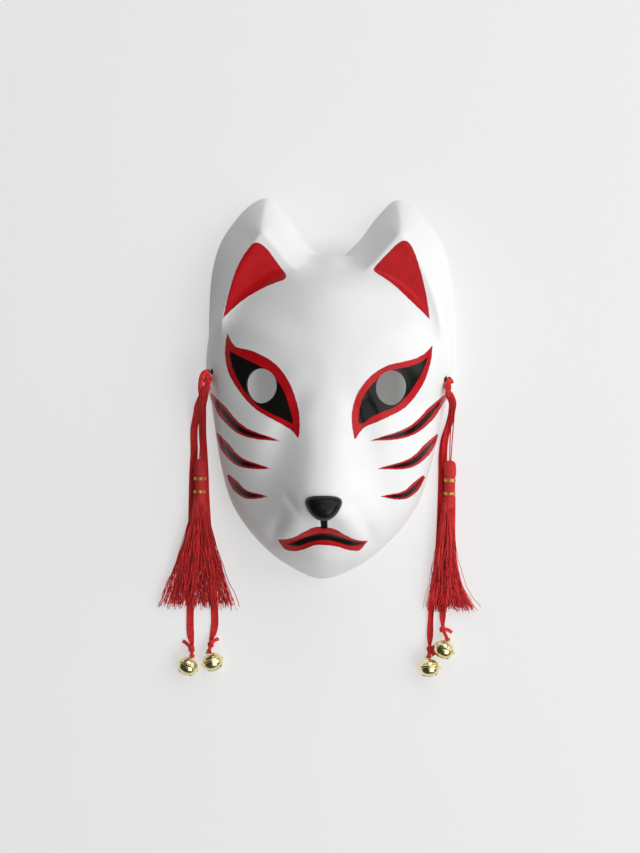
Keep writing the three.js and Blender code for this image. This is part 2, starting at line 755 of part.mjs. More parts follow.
const tassels = {
  left: { x: -90.2, y: -51.4, reach: [28.4, 26.5], powers: [1.25, 1.25] },
  right: { x: 87.7, y: -49.8, reach: [13.8, 19.5], powers: [0.85, 4] },
};
const tasselCordRoutes = {
  left: [
    [ties.left.x, ties.left.exitY, ties.left.z + 3],
    [-87.5, -2.5, 26.4],
    [-88.4, -5.5, 24.6],
    [-89, -9.5, 20.8],
    [-89.4, -14, 16.2],
    [-89.6, -19, 11.2],
    [-89.7, -24, 7],
    [-89.8, -29, 4.3],
    [-89.9, -33.5, 3],
    [-90, -37.5, 2.6],
    [-90, -41, 3],
    [-90.1, -44, 4],
    [-90.1, -46.5, 5.2],
    [-90.2, -49, headHeight - 0.6],
    [-90.2, -51.4 + fitGap, headHeight],
  ],
  right: [
    [ties.right.x, ties.right.exitY, ties.right.z + 3],
    [87.2, -3.5, 25.8],
    [88, -6, 24],
    [88.6, -9, 21],
    [88.8, -13, 16.6],
    [88.9, -17, 12.5],
    [88.8, -21, 9.2],
    [88.6, -25, 6.7],
    [88.5, -29.5, 5],
    [88.3, -34, 4.2],
    [88.1, -38, 4],
    [88, -41.5, 4.4],
    [87.9, -44.5, 5.2],
    [87.8, -47, 6.2],
    [87.7, -49.8 + fitGap, headHeight],
  ],
};

add("strap", cord(roundSection(strapDiameter), strapRoute, strapSteps), finishes.elastic);

for (const [name, side] of sides) {
  const level = ends[name].level;
  const strapKnotX = side * (ends[name].endX + fitGap + strapKnotRadius) + lean(level);
  const strapKnot = knot(strapKnotRadius, strapKnotRadius, strapKnotRadius);
  add("strap_knot_" + name, strapKnot, finishes.elastic, [strapKnotX, level, tieHoleHeight]);
  const radius = tieKnotRadii[name];
  const tieKnot = knot(radius, tieKnotLong * radius, tieKnotTall * radius);
  add("tie_knot_" + name, tieKnot, finishes.ribbon, [ties[name].x, ties[name].y, ties[name].z]);
  const tasselCord = cord(roundSection(tasselCordDiameter), tasselCordRoutes[name], tasselCordSteps);
  add("tassel_cord_" + name, tasselCord, finishes.silk);

  const top = tassels[name];
  add("tassel_" + name, tassel(top.reach, top.powers), finishes.silk, [top.x, top.y, headHeight]);
  const bindingInner = tasselNeckRadius + fitGap;
  const bindings = { upper: [upperBindingAt, upperBindingWidth], lower: [lowerBindingAt, lowerBindingWidth] };
  for (const [which, [at, width]] of Object.entries(bindings)) {
    const ring = binding(bindingInner, bindingInner + bindingThickness, width);
    add("tassel_binding_" + which + "_" + name, ring, finishes.gold, [top.x, top.y - at, headHeight]);
  }
}

for (const [name, route] of Object.entries(ribbonRoutes)) {
  add("ribbon_" + name, cord(ribbonSection, route, ribbonSteps), finishes.ribbon);
  const [x, y] = route[route.length - 1];
  const lump = knot(endKnotRadius, endKnotLong * endKnotRadius, endKnotRadius);
  add("ribbon_knot_" + name, lump, finishes.ribbon, [x, y - fitGap - endKnotLong * endKnotRadius, endHeight]);
  const place = bellPlaces[name];
  const made = add("bell_" + name, bell(), finishes.brass, [place.x, place.y, bellMiddle]);
  made.rotation.order = "ZYX";
  made.rotation.set(-nod, 0, THREE.MathUtils.degToRad(place.turn));
}

export default mask;
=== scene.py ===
# %% [markdown]
# # A kitsune mask with tassels and bells
# A full-face fox mask of moulded white plastic, painted by hand. At each temple a red knot holds a silk tassel and two
# woven ribbons with jingle bells, and a black elastic strap runs behind from one temple to the other. A mask can't
# stand by itself, so it lies on its rim with the face up, and the camera looks down on it.
#
# All sizes here are in millimetres until the last moment, when `MM` turns them into metres.

# %% Load the frame and measure its box
import math

import bpy
import numpy as np
from mathutils import Matrix, Vector


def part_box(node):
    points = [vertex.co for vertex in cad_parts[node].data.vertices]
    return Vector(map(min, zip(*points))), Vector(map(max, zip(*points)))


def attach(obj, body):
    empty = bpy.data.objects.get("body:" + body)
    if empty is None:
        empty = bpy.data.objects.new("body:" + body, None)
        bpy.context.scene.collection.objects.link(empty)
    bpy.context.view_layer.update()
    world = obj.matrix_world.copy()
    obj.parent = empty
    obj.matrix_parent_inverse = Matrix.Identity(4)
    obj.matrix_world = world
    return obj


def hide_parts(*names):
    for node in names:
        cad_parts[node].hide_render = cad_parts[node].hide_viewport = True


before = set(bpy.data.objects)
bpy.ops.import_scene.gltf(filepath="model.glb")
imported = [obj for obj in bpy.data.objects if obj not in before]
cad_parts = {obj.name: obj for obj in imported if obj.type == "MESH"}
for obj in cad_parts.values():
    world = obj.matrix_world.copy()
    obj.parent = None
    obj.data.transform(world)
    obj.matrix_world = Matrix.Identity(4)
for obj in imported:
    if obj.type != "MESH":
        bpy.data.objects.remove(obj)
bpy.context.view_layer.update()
MM = 0.001
random = np.random.default_rng(7)

# %% [markdown]
# ## Camera
# The photograph was taken with a fairly long lens, straight at the face, so near and far features keep their sizes.
# The camera is described as a photographer would: which point it looks at, where that point falls in the picture, how
# far away it is, and by how many degrees it is turned. It could be dragged into place by eye, but numbers can be put
# right one at a time.

# %% Place the camera
LENS, SENSOR = 85, 36
PICTURE = (640, 853)
TARGET = np.array([0, 0, 35.0])
TARGET_PIXEL = (326.96, 388.38)
DISTANCE, YAW, PITCH, ROLL = 1403.5, 1.51, 0.92, 0.85


def unit(v):
    """v / |v|, along the last axis."""
    return v / np.maximum(np.linalg.norm(v, axis=-1, keepdims=True), 1e-12)


def add_camera():
    """The camera's place is target - distance * ray, where ray goes through the target's pixel."""
    yaw, pitch, roll = np.radians([YAW, PITCH, ROLL])
    back = np.array([math.sin(yaw) * math.cos(pitch), math.sin(pitch), math.cos(yaw) * math.cos(pitch)])
    level = unit(np.cross([0, 1, 0], back))
    upright = np.cross(back, level)
    right = level * math.cos(roll) + upright * math.sin(roll)
    up = upright * math.cos(roll) - level * math.sin(roll)
    focal = LENS / SENSOR * max(PICTURE)
    across = (TARGET_PIXEL[0] - PICTURE[0] / 2) / focal
    down = (TARGET_PIXEL[1] - PICTURE[1] / 2) / focal
    ray = unit(-back + across * right - down * up)
    data = bpy.data.cameras.new("camera")
    data.lens, data.sensor_width = LENS, SENSOR
    data.clip_start, data.clip_end = 0.05, 20
    camera = bpy.data.objects.new("camera", data)
    bpy.context.collection.objects.link(camera)
    place = Matrix.Translation((TARGET - DISTANCE * ray) * MM)
    place = place @ Matrix(np.column_stack([right, up, back]).tolist()).to_4x4()
    camera.matrix_world = place
    bpy.context.scene.camera = camera
    return camera


camera = add_camera()
print("camera at", [round(v, 3) for v in camera.location])

# %% [markdown]
# ## Tools
# Every piece is made from a grid of points: a profile swept along a path, or a function of two parameters. The helpers
# work on whole arrays, which is quick and gives the same mesh each time, where Blender's own tools would need a
# selection and a mode for each step. A swept form gets UVs across and along, so that a weave or a twist follows it.

# %% Mesh tools


def smooth_path(points, count, closed=False):
    """Centripetal Catmull-Rom curve through the points, as count points evenly spaced along it.

    Between p1 and p2, with knots t(i+1) = t(i) + sqrt(|p(i+1) - p(i)|), by the pyramid of linear mixes."""
    p = np.asarray(points, float)
    if closed:
        p = np.vstack([p[-1:], p, p[:2]])
    else:
        p = np.vstack([2 * p[:1] - p[1:2], p, 2 * p[-1:] - p[-2:-1]])
    t = np.concatenate([[0], np.cumsum(np.sqrt(np.linalg.norm(np.diff(p, axis=0), axis=1)))])
    s = np.linspace(t[1], t[-2], 40 * len(p))
    i = np.clip(np.searchsorted(t, s, side="right") - 1, 1, len(p) - 3)

    def mix(a, b, start, end):
        share = ((s - start) / (end - start))[:, None]
        return a * (1 - share) + b * share

    a1 = mix(p[i - 1], p[i], t[i - 1], t[i])
    a2 = mix(p[i], p[i + 1], t[i], t[i + 1])
    a3 = mix(p[i + 1], p[i + 2], t[i + 1], t[i + 2])
    b1 = mix(a1, a2, t[i - 1], t[i + 1])
    b2 = mix(a2, a3, t[i], t[i + 2])
    curve = mix(b1, b2, t[i], t[i + 1])
    gone = np.concatenate([[0], np.cumsum(np.linalg.norm(np.diff(curve, axis=0), axis=1))])
    at = np.linspace(0, gone[-1], count, endpoint=not closed)
    return np.stack([np.interp(at, gone, curve[:, k]) for k in range(curve.shape[1])], axis=1)


def path_length(path):
    """Sum of |p(i+1) - p(i)|."""
    return float(np.linalg.norm(np.diff(path, axis=0), axis=1).sum())


def ring_quads(a, b, back=False):
    """Quads between rings a and b, whose points run round the last axis, or the same quads seen from behind."""
    next_a, next_b = np.roll(a, -1, axis=-1), np.roll(b, -1, axis=-1)
    return np.stack([a, b, next_b, next_a] if back else [a, next_a, next_b, b], axis=-1).reshape(-1, 4)


def fan(centre, ring, back=False):
    """Triangles from a centre to every side of a ring round the last axis."""
    centre, following = np.broadcast_to(centre, ring.shape), np.roll(ring, -1, axis=-1)
    return np.stack([centre, following, ring] if back else [centre, ring, following], axis=-1).reshape(-1, 3)


def make_piece(name, points, faces, materials, uvs=None, tone=None, picked=None):
    """A mesh object from points in mm and lists of faces of equal corner counts. uvs has a row per corner, tone a
    number per point, and picked a material's number per face."""
    mesh = bpy.data.meshes.new(name)
    faces = [np.asarray(f, np.int32) for f in faces if len(f)]
    sizes = np.concatenate([np.full(len(f), f.shape[1], np.int32) for f in faces])
    mesh.vertices.add(len(points))
    mesh.vertices.foreach_set("co", (np.asarray(points) * MM).astype(np.float32).ravel())
    mesh.loops.add(int(sizes.sum()))
    mesh.loops.foreach_set("vertex_index", np.concatenate([f.ravel() for f in faces]))
    mesh.polygons.add(len(sizes))
    mesh.polygons.foreach_set("loop_start", np.concatenate([[0], np.cumsum(sizes)[:-1]]).astype(np.int32))
    for made in materials if isinstance(materials, (list, tuple)) else [materials]:
        mesh.materials.append(made)
    if picked is not None:
        mesh.polygons.foreach_set("material_index", np.asarray(picked, np.int32))
    mesh.polygons.foreach_set("use_smooth", np.ones(len(sizes), bool))
    if uvs is not None:
        mesh.uv_layers.new(name="UVMap").data.foreach_set("uv", np.asarray(uvs, np.float32).ravel())
    if tone is not None:
        mesh.attributes.new("tone", "FLOAT", "POINT").data.foreach_set("value", np.asarray(tone, np.float32))
    mesh.update(calc_edges=True)
    made = bpy.data.objects.new(name, mesh)
    bpy.context.collection.objects.link(made)
    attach(made, "root")
    return made


def swept(paths, outline, across=None, edges=None):
    """Closed skins swept along paths of shape (n, m, 3). The outline of k points is (k, 2), or (n, m, k, 2) where it
    changes on the way. across is the direction of the outline's first axis: level, unless it is given.

    Returns points, faces and UVs. edges are the k + 1 values of U round the outline."""
    paths = np.asarray(paths, float)
    paths = paths[None] if paths.ndim == 2 else paths
    n, m, _ = paths.shape
    outline = np.asarray(outline, float)
    k = outline.shape[-2]
    outline = np.broadcast_to(outline, (n, m, k, 2))
    along = unit(np.gradient(paths, axis=1))
    across = unit(np.cross(along, [0, 0, 1.0]) if across is None else np.broadcast_to(across, paths.shape))
    up = np.cross(across, along)
    rings = paths[:, :, None] + outline[..., :1] * across[:, :, None] + outline[..., 1:] * up[:, :, None]
    points = np.concatenate([rings.reshape(-1, 3), paths[:, 0], paths[:, -1]])
    ring = np.arange(n * m * k).reshape(n, m, k)
    quads = ring_quads(ring[:, :-1], ring[:, 1:])
    first = n * m * k + np.arange(n)[:, None]
    caps = [fan(first, ring[:, 0], back=True), fan(first + n, ring[:, -1])]
    gone = np.concatenate([np.zeros((n, 1)), np.cumsum(np.linalg.norm(np.diff(paths, axis=1), axis=2), axis=1)], 1)
    edges = np.arange(k + 1) / k if edges is None else np.asarray(edges, float)
    u = np.broadcast_to(edges, (n, m - 1, k + 1))
    low = np.broadcast_to(gone[:, :-1, None], (n, m - 1, k))
    high = np.broadcast_to(gone[:, 1:, None], (n, m - 1, k))
    corner = [(u[..., :-1], low), (u[..., 1:], low), (u[..., 1:], high), (u[..., :-1], high)]
    uvs = np.stack([np.stack(pair, axis=-1) for pair in corner], axis=-2).reshape(-1, 2)
    uvs = np.concatenate([uvs, np.zeros((6 * n * k, 2))])
    return points, [quads, np.concatenate(caps)], uvs


def round_outline(radius, sides):
    """sides points on a circle, in the order that turns a swept skin's faces outwards."""
    turn = -2 * np.pi * np.arange(sides) / sides
    return radius * np.stack([np.cos(turn), np.sin(turn)], axis=-1)


def turned(profile, sides, ridges=0, depth=0.0):
    """A surface turned about +Y from a profile of [radius, y] rows, its radius times 1 + depth * cos(ridges * turn).
    The first and last rows have radius 0. Returns points and faces."""
    profile = np.asarray(profile, float)
    turn = 2 * np.pi * np.arange(sides) / sides
    radius = profile[1:-1, :1] * (1 + depth * np.cos(ridges * turn))
    y = np.broadcast_to(profile[1:-1, 1:], radius.shape)
    rings = np.stack([radius * np.cos(turn), y, -radius * np.sin(turn)], axis=-1)
    points = np.concatenate([rings.reshape(-1, 3), [[0, profile[0, 1], 0], [0, profile[-1, 1], 0]]])
    ring = np.arange(rings.shape[0] * sides).reshape(-1, sides)
    caps = [fan(len(points) - 2, ring[0], back=True), fan(len(points) - 1, ring[-1])]
    return points, [ring_quads(ring[:-1], ring[1:]), np.concatenate(caps)]


def joined(*parts):
    """Several (points, faces) as one."""
    points, faces, gone = [], [], 0
    for part in parts:
        points.append(part[0])
        faces.extend(np.asarray(f) + gone for f in part[1])
        gone += len(part[0])
    return np.concatenate(points), faces


def stand_for(node):
    """The piece takes a solid's place in the picture: the solid is hidden."""
    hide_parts(node)


def cut_out(piece, tools):
    """The piece's mesh with each tool cut out of it by a Boolean. The tools are removed."""
    for tool in tools:
        cut = piece.modifiers.new(tool.name, "BOOLEAN")
        cut.operation, cut.solver, cut.object = "DIFFERENCE", "MANIFOLD", tool
    bpy.context.view_layer.update()
    mesh = bpy.data.meshes.new_from_object(piece.evaluated_get(bpy.context.evaluated_depsgraph_get()))
    piece.modifiers.clear()
    for tool in tools:
        bpy.data.objects.remove(tool)
    return mesh


def join_into(piece, other):
    """Makes two objects one, as Ctrl J does."""
    with bpy.context.temp_override(active_object=piece, selected_editable_objects=[piece, other], object=piece):
        bpy.ops.object.join()


# %% [markdown]
# A material is a small graph of nodes. It could be drawn in the shader editor, but in code each step has a name, and a
# change is one number. These helpers add a node, wire it up and give back the output that the next node reads.

# %% Material tools
FULL_TURN = 6.2832


def shader_node(tree, kind, sockets=None, **settings):
    """Adds a shader node. sockets maps an input's name or number to a value or to the output that feeds it."""
    made = tree.nodes.new("ShaderNode" + kind)
    for key, value in settings.items():
        setattr(made, key, value)
    for key, value in (sockets or {}).items():
        if isinstance(value, bpy.types.NodeSocket):
            tree.links.new(value, made.inputs[key])
        else:
            made.inputs[key].default_value = value
    return made


def calc(tree, operation, a, b=0.0):
    """One step of arithmetic, as an output."""
    return shader_node(tree, "Math", {0: a, 1: b}, operation=operation).outputs[0]


def mixed(tree, share, a, b):
    """Colour a where share is 0 and b where it is 1, as an output."""
    return shader_node(tree, "Mix", {0: share, 6: a, 7: b}, data_type="RGBA").outputs[2]


def ranged(tree, value, low, high, to_low=0.0, to_high=1.0):
    """value from low to high as a number from to_low to to_high, held at both ends."""
    return shader_node(tree, "MapRange", {0: value, 1: low, 2: high, 3: to_low, 4: to_high}).outputs[0]


def noise(tree, scale, detail=3.0, roughness=0.5):
    """A noise of a number of blobs a metre, as an output near 0.5."""
    place = shader_node(tree, "TexCoord").outputs["Object"]
    sockets = {"Vector": place, "Scale": scale, "Detail": detail, "Roughness": roughness}
    return shader_node(tree, "TexNoise", sockets).outputs[0]


def wave(tree, value, rate):
    """sin(rate * value), as an output."""
    return calc(tree, "SINE", calc(tree, "MULTIPLY", value, rate))


def across_and_along(tree):
    """The piece's own UVs, across and along it, as two outputs and together."""
    place = shader_node(tree, "TexCoord").outputs["UV"]
    split = shader_node(tree, "SeparateXYZ", {0: place})
    return split.outputs[0], split.outputs[1], place


def attribute(tree, name):
    """A point attribute of the mesh, as an output."""
    return shader_node(tree, "Attribute", attribute_name=name).outputs["Fac"]


def bumped(tree, shader, height, distance, strength=1.0):
    """Raises the shader's surface by distance, in metres, where height is 1."""
    bump = shader_node(tree, "Bump", {"Height": height, "Distance": distance, "Strength": strength})
    tree.links.new(bump.outputs[0], shader.inputs["Normal"])


def material(name, colour, roughness, **values):
    """A Principled material. Returns it with its tree and its shader. Names of inputs are written with _ for spaces."""
    made = bpy.data.materials.new(name)
    made.use_nodes = True
    tree = made.node_tree
    shader = tree.nodes["Principled BSDF"]
    settings = {"Base Color": (*colour, 1.0), "Roughness": roughness}
    settings.update({key.replace("_", " "): value for key, value in values.items()})
    for key, value in settings.items():
        shader.inputs[key].default_value = value
    return made, tree, shader


# %% [markdown]
# ## Fabric materials
# The ribbons are a plain-woven polyester with a glittery thread: across and along waves make the weave, and random
# small cells flash. Silk threads differ from strand to strand, which a number stored with each point, `tone`, gives.
# A photograph of cloth could be wrapped round them instead, but waves stay sharp at any distance and never show a seam.

# %% Silk, ribbon, gold thread and elastic


def silk_material():
    """Shiny red thread: darker or lighter by tone, with a fine twist along it."""
    made, tree, shader = material("silk", (0.6, 0.01, 0.015), 0.46, Specular_IOR_Level=0.3)
    tone = attribute(tree, "tone")
    colour = mixed(tree, tone, (0.3, 0.003, 0.006, 1), (1.0, 0.05, 0.05, 1))
    tree.links.new(colour, shader.inputs["Base Color"])
    across, along, _ = across_and_along(tree)
    twist = calc(tree, "ADD", calc(tree, "MULTIPLY", across, FULL_TURN), calc(tree, "MULTIPLY", along, 5.2))
    bumped(tree, shader, calc(tree, "SINE", twist), 0.00005, 0.6)
    return made


def ribbon_material():
    """Plain weave from two waves, and cells of glitter a third of a millimetre wide."""
    made, tree, shader = material("ribbon", (0.62, 0.012, 0.02), 0.45, Specular_IOR_Level=0.35)
    across, along, place = across_and_along(tree)
    weave = calc(tree, "MULTIPLY", wave(tree, along, 8.0), wave(tree, across, 10.5))
    cells = shader_node(tree, "TexVoronoi", {"Vector": place, "Scale": 2.6})
    flash = ranged(tree, shader_node(tree, "SeparateColor", {0: cells.outputs["Color"]}).outputs[0], 0.72, 0.95)
    blotch = ranged(tree, noise(tree, 260), 0.35, 0.65)
    base = mixed(tree, blotch, (0.6, 0.009, 0.012, 1), (0.92, 0.022, 0.026, 1))
    base = mixed(tree, ranged(tree, weave, -1, 1, 0, 0.3), base, (0.38, 0.005, 0.009, 1))
    colour = mixed(tree, calc(tree, "MULTIPLY", flash, 0.5), base, (0.95, 0.12, 0.12, 1))
    tree.links.new(colour, shader.inputs["Base Color"])
    tree.links.new(ranged(tree, flash, 0, 1, 0.5, 0.2), shader.inputs["Roughness"])
    bumped(tree, shader, calc(tree, "ADD", weave, flash), 0.00012, 0.8)
    return made


def gold_material():
    """Metal thread, darker and lighter in random blotches."""
    made, tree, shader = material("gold_thread", (0.86, 0.56, 0.2), 0.32, Metallic=0.85)
    blotch = ranged(tree, noise(tree, 900), 0.3, 0.7)
    tree.links.new(mixed(tree, blotch, (0.62, 0.34, 0.1, 1), (0.95, 0.68, 0.3, 1)), shader.inputs["Base Color"])
    bumped(tree, shader, noise(tree, 2600), 0.00006, 0.7)
    return made


def elastic_material():
    """Black covered elastic: a braid of two crossing spirals."""
    made, tree, shader = material("elastic", (0.012, 0.012, 0.013), 0.7, Sheen_Weight=0.2)
    across, along, _ = across_and_along(tree)
    turn = calc(tree, "MULTIPLY", across, FULL_TURN * 4)
    run = calc(tree, "MULTIPLY", along, 4.6)
    one = calc(tree, "SINE", calc(tree, "ADD", turn, run))
    other = calc(tree, "SINE", calc(tree, "SUBTRACT", turn, run))
    bumped(tree, shader, calc(tree, "MULTIPLY", one, other), 0.0002, 0.8)
    return made


silk, ribbon, gold, elastic = silk_material(), ribbon_material(), gold_material(), elastic_material()
print("fabric materials:", [made.name for made in (silk, ribbon, gold, elastic)])

# %% [markdown]
# ## Cords
# The strap's ends come out of the small holes at the temples, where knots hold them; between them it lies slack in the
# hollow. Four ribbons and two doubled cords hang from the red knots and lie on the table. A simulated rope would come
# to rest a little differently each time it is tuned, so the routes are points, the ones the solid model was packed
# with, and a smooth curve runs through them.

# %% Routes of the cords
HALF_WIDTH, HALF_HEIGHT = 88.2, 135.0
LEAN = [
    (-1, -0.018), (-0.74, -0.017), (-0.44, -0.011), (-0.15, -0.002), (0, 0.005), (0.15, 0.015), (0.3, 0.023),
    (0.45, 0.021), (0.6, 0.014), (0.81, 0.01), (1, 0.008),
]


def lean(y):
    """How far the moulding, which isn't quite true, leans towards +X at a level, from shares of its half sizes."""
    return HALF_WIDTH * np.interp(np.asarray(y) / HALF_HEIGHT, *np.array(LEAN).T)


def box_of(node):
    """Lowest and highest corner of a solid, in mm."""
    return [np.array(corner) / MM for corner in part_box(node)]


def below(knot):
    """Where cords leave a knot: the middle of its box across and in height, a gap below it."""
    low, high = box_of(knot)
    return (low[0] + high[0]) / 2, low[1] - GAP, (low[2] + high[2]) / 2


GAP = 0.3
ON_FLOOR, ON_RIBBON, HEAD = 0.5, 1.6, 7.0
STRAP_LEVEL = 1.3
TIE_LEVELS, TIE_HEIGHT = {"left": 10.5, "right": 7.6}, 22.0
strap_low, strap_high = box_of("strap")
STRAP_LEFT, STRAP_RIGHT = strap_low[0], strap_high[0]
LEFT_X, LEFT_Y, LEFT_Z = below("tie_knot_left")
RIGHT_X, RIGHT_Y, RIGHT_Z = below("tie_knot_right")

strap_route = [
    (-76, 9.6, 20.6), (-75.6, 6.5, 16.5), (-75.6, 2, 11), (-75.6, -3.5, 6), (-75, -9, 2.6), (-74, -16, STRAP_LEVEL),
    (-70, -29, STRAP_LEVEL), (-61, -43, STRAP_LEVEL), (-48, -53, STRAP_LEVEL), (-32, -58, STRAP_LEVEL),
    (-16, -58, STRAP_LEVEL), (0, -55, STRAP_LEVEL), (16, -53, STRAP_LEVEL), (32, -54, STRAP_LEVEL),
    (48, -52, STRAP_LEVEL), (61, -43, STRAP_LEVEL), (70, -29, STRAP_LEVEL), (74, -16, STRAP_LEVEL), (75, -9, 2.6),
    (75.6, -3.5, 6), (75.6, 1, 11), (75.6, 4.5, 16.5), (76, 6.9, 20.6),
]
strap_route = [(x + float(lean(y)), y, z) for x, y, z in strap_route]
TURN = 5.6
strap_route = [
    (STRAP_LEFT, TIE_LEVELS["left"], TIE_HEIGHT), (STRAP_LEFT + TURN, TIE_LEVELS["left"], TIE_HEIGHT), *strap_route,
    (STRAP_RIGHT - TURN, TIE_LEVELS["right"], TIE_HEIGHT), (STRAP_RIGHT, TIE_LEVELS["right"], TIE_HEIGHT),
]

F, R = ON_FLOOR, ON_RIBBON
ribbon_routes = {
    "left_outer": [
        (LEFT_X, LEFT_Y, LEFT_Z + 1.1), (-86.1, -3, 24), (-88.9, -8.5, 19.8), (-91.6, -14, 13.8), (-92.8, -19, 8.8),
        (-94, -24, 4.6), (-95.2, -30, 1.9), (-95.4, -36, 0.9), (-95.1, -46, F), (-95.7, -62, F), (-95.9, -78, F),
        (-96, -94, F), (-96.2, -110, F), (-96.4, -128, F), (-96.5, -146, F), (-96.4, -160, F), (-96.3, -172, F),
        (-95.7, -179, 1.2), (-94.6, -184.3, 2.6),
    ],
    "left_inner": [
        (LEFT_X, LEFT_Y, LEFT_Z - 1.1), (-85.9, -3, 21.8), (-87.4, -8.5, 17), (-88.6, -13, 12), (-89, -18, 7.2),
        (-89.2, -23, 3.4), (-89.3, -28, 1.3), (-89.2, -34, F), (-88.3, -46, F), (-87.2, -62, F), (-86.4, -78, F),
        (-85.2, -94, F), (-83.6, -112, F), (-81.8, -130, F), (-80, -148, F), (-78.9, -162, F), (-78.7, -170, 0.8),
        (-79.6, -176, 1.5), (-81, -180.6, 2.6),
    ],
    "right_outer": [
        (RIGHT_X, RIGHT_Y, RIGHT_Z + 1.1), (86.6, -4.5, 22.9), (88.4, -9, 18.8), (88.3, -14, 13.2), (87.7, -19, 8.4),
        (86.8, -24, 5), (85.2, -30, 2.9), (84, -37, R), (83.6, -46, R), (84, -62, R), (85, -78, R), (85.8, -94, R),
        (86.1, -108, R), (85.9, -122, 1.3), (85.1, -136, 0.7), (84.2, -148, F), (84.1, -156, 0.7), (84.2, -162, 1.4),
        (84.3, -167, 2.6),
    ],
    "right_inner": [
        (RIGHT_X, RIGHT_Y, RIGHT_Z - 1.1), (86.3, -4.5, 20.5), (87.9, -8.5, 16.5), (87.9, -13, 11.6), (87.3, -18, 7),
        (86.3, -23, 3.4), (84.6, -29, 1.2), (82.8, -35, F), (81.4, -46, F), (81.4, -58, F), (81.2, -80, F),
        (80.4, -108, F), (78, -137, F), (76.2, -152, F), (75.6, -166, F), (75.4, -175, 1), (75.3, -181, 2.6),
    ],
}
tassel_cord_routes = {
    "left": [
        (LEFT_X, LEFT_Y, LEFT_Z + 3), (-87.5, -2.5, 26.4), (-88.4, -5.5, 24.6), (-89, -9.5, 20.8), (-89.4, -14, 16.2),
        (-89.6, -19, 11.2), (-89.7, -24, 7), (-89.8, -29, 4.3), (-89.9, -33.5, 3), (-90, -37.5, 2.6), (-90, -41, 3),
        (-90.1, -44, 4), (-90.1, -46.5, 5.2), (-90.2, -49, HEAD - 0.6), (-90.2, -51.4 + GAP, HEAD),
    ],
    "right": [
        (RIGHT_X, RIGHT_Y, RIGHT_Z + 3), (87.2, -3.5, 25.8), (88, -6, 24), (88.6, -9, 21), (88.8, -13, 16.6),
        (88.9, -17, 12.5), (88.8, -21, 9.2), (88.6, -25, 6.7), (88.5, -29.5, 5), (88.3, -34, 4.2), (88.1, -38, 4),
        (88, -41.5, 4.4), (87.9, -44.5, 5.2), (87.8, -47, 6.2), (87.7, -49.8 + GAP, HEAD),
    ],
}
print("the knots' undersides in mm:", np.round([(LEFT_X, LEFT_Y, LEFT_Z), (RIGHT_X, RIGHT_Y, RIGHT_Z)], 1).tolist())

# %% [markdown]
# Each cord is a section carried along its route: a circle for the elastic and the silk, and for a ribbon a thin flat
# form with thicker selvedges. A curve object with a bevel would do for the round ones, but a ribbon has to fold, narrow
# into its knots and carry a weave, so all of them are swept meshes.

# %% Strap, ribbons and tassel cords
STRAP_RADIUS, STRAP_LENGTH = 1.2, 277
SILK_RADIUS, SILK_WIDTH = 0.4, 1.2
TASSEL_CORD_LENGTHS = {"left": 65, "right": 62}
RIBBON_WIDTH, SELVEDGE_HALF, SCALLOP = 6, 0.26, 1.7
RIBBONS = {
    "left_outer": {"length": 190, "fold": 0.35}, "left_inner": {"length": 187, "fold": 0.35},
    "right_outer": {"length": 173, "fold": 1.5}, "right_inner": {"length": 187, "fold": 1.5},
}


def add_strap():
    """A round braided elastic."""
    path = smooth_path(strap_route, 420)
    points, faces, uvs = swept(path, round_outline(STRAP_RADIUS, 14))
    piece = make_piece("elastic_strap", points, faces, elastic, uvs)
    stand_for("strap")
    return path_length(path)


def add_ribbon(name, most_folded):
    """A woven ribbon with thick, scalloped selvedges, folded like a trough and pinched where it enters its knots.

    At v mm along it, half width = 3 * (1 - 0.07 |sin(pi v / 1.7)|) * (1 - 0.2 fold) * pinch, and a point at a share u
    of it is lifted by fold * u^2. The fold eases in over 25 mm and out over 20 mm. The pinch is 1, less
    0.6 exp(-(v / 3)^2) at the start and 0.62 exp(-(v / 6.5)^2), with v from the end, at the end."""
    route = ribbon_routes[name]
    start, end = np.array(route[0]), np.array(route[-1])
    path = smooth_path([start + [0, 2.6, 0.2], *route, end + [0, -2.6, 1.2]], 460)
    run = np.linspace(0, path_length(path), len(path))
    scallop = 1 - 0.07 * np.abs(np.sin(np.pi * run / SCALLOP))
    share = np.array([-1, -0.85, -0.5, 0, 0.5, 0.85, 1])
    thick = SELVEDGE_HALF * np.array([0.55, 1, 0.85, 0.8, 0.85, 1, 0.55])
    ease = np.clip(run / 25, 0, 1) * np.clip((run[-1] - run) / 20, 0, 1)
    fold = most_folded * ease
    pinch = 1 - 0.6 * np.exp(-((run / 3) ** 2)) - 0.62 * np.exp(-(((run[-1] - run) / 6.5) ** 2))
    u = np.concatenate([share, share[::-1]])
    side = np.concatenate([thick, -thick[::-1]])
    flat = RIBBON_WIDTH / 2 * u[None, :] * scallop[:, None]
    lift = fold[:, None] * u[None, :] ** 2
    squeeze = (1 - 0.2 * fold[:, None]) * pinch[:, None]
    outline = np.stack([flat * squeeze, side[None, :] + lift - 0.12 * fold[:, None]], axis=-1)[None]
    edges = RIBBON_WIDTH / 2 * np.append(u, u[0])
    points, faces, uvs = swept(path, outline, edges=edges)
    piece = make_piece("woven_ribbon_" + name, points, faces, ribbon, uvs)
    stand_for("ribbon_" + name)
    return piece, path


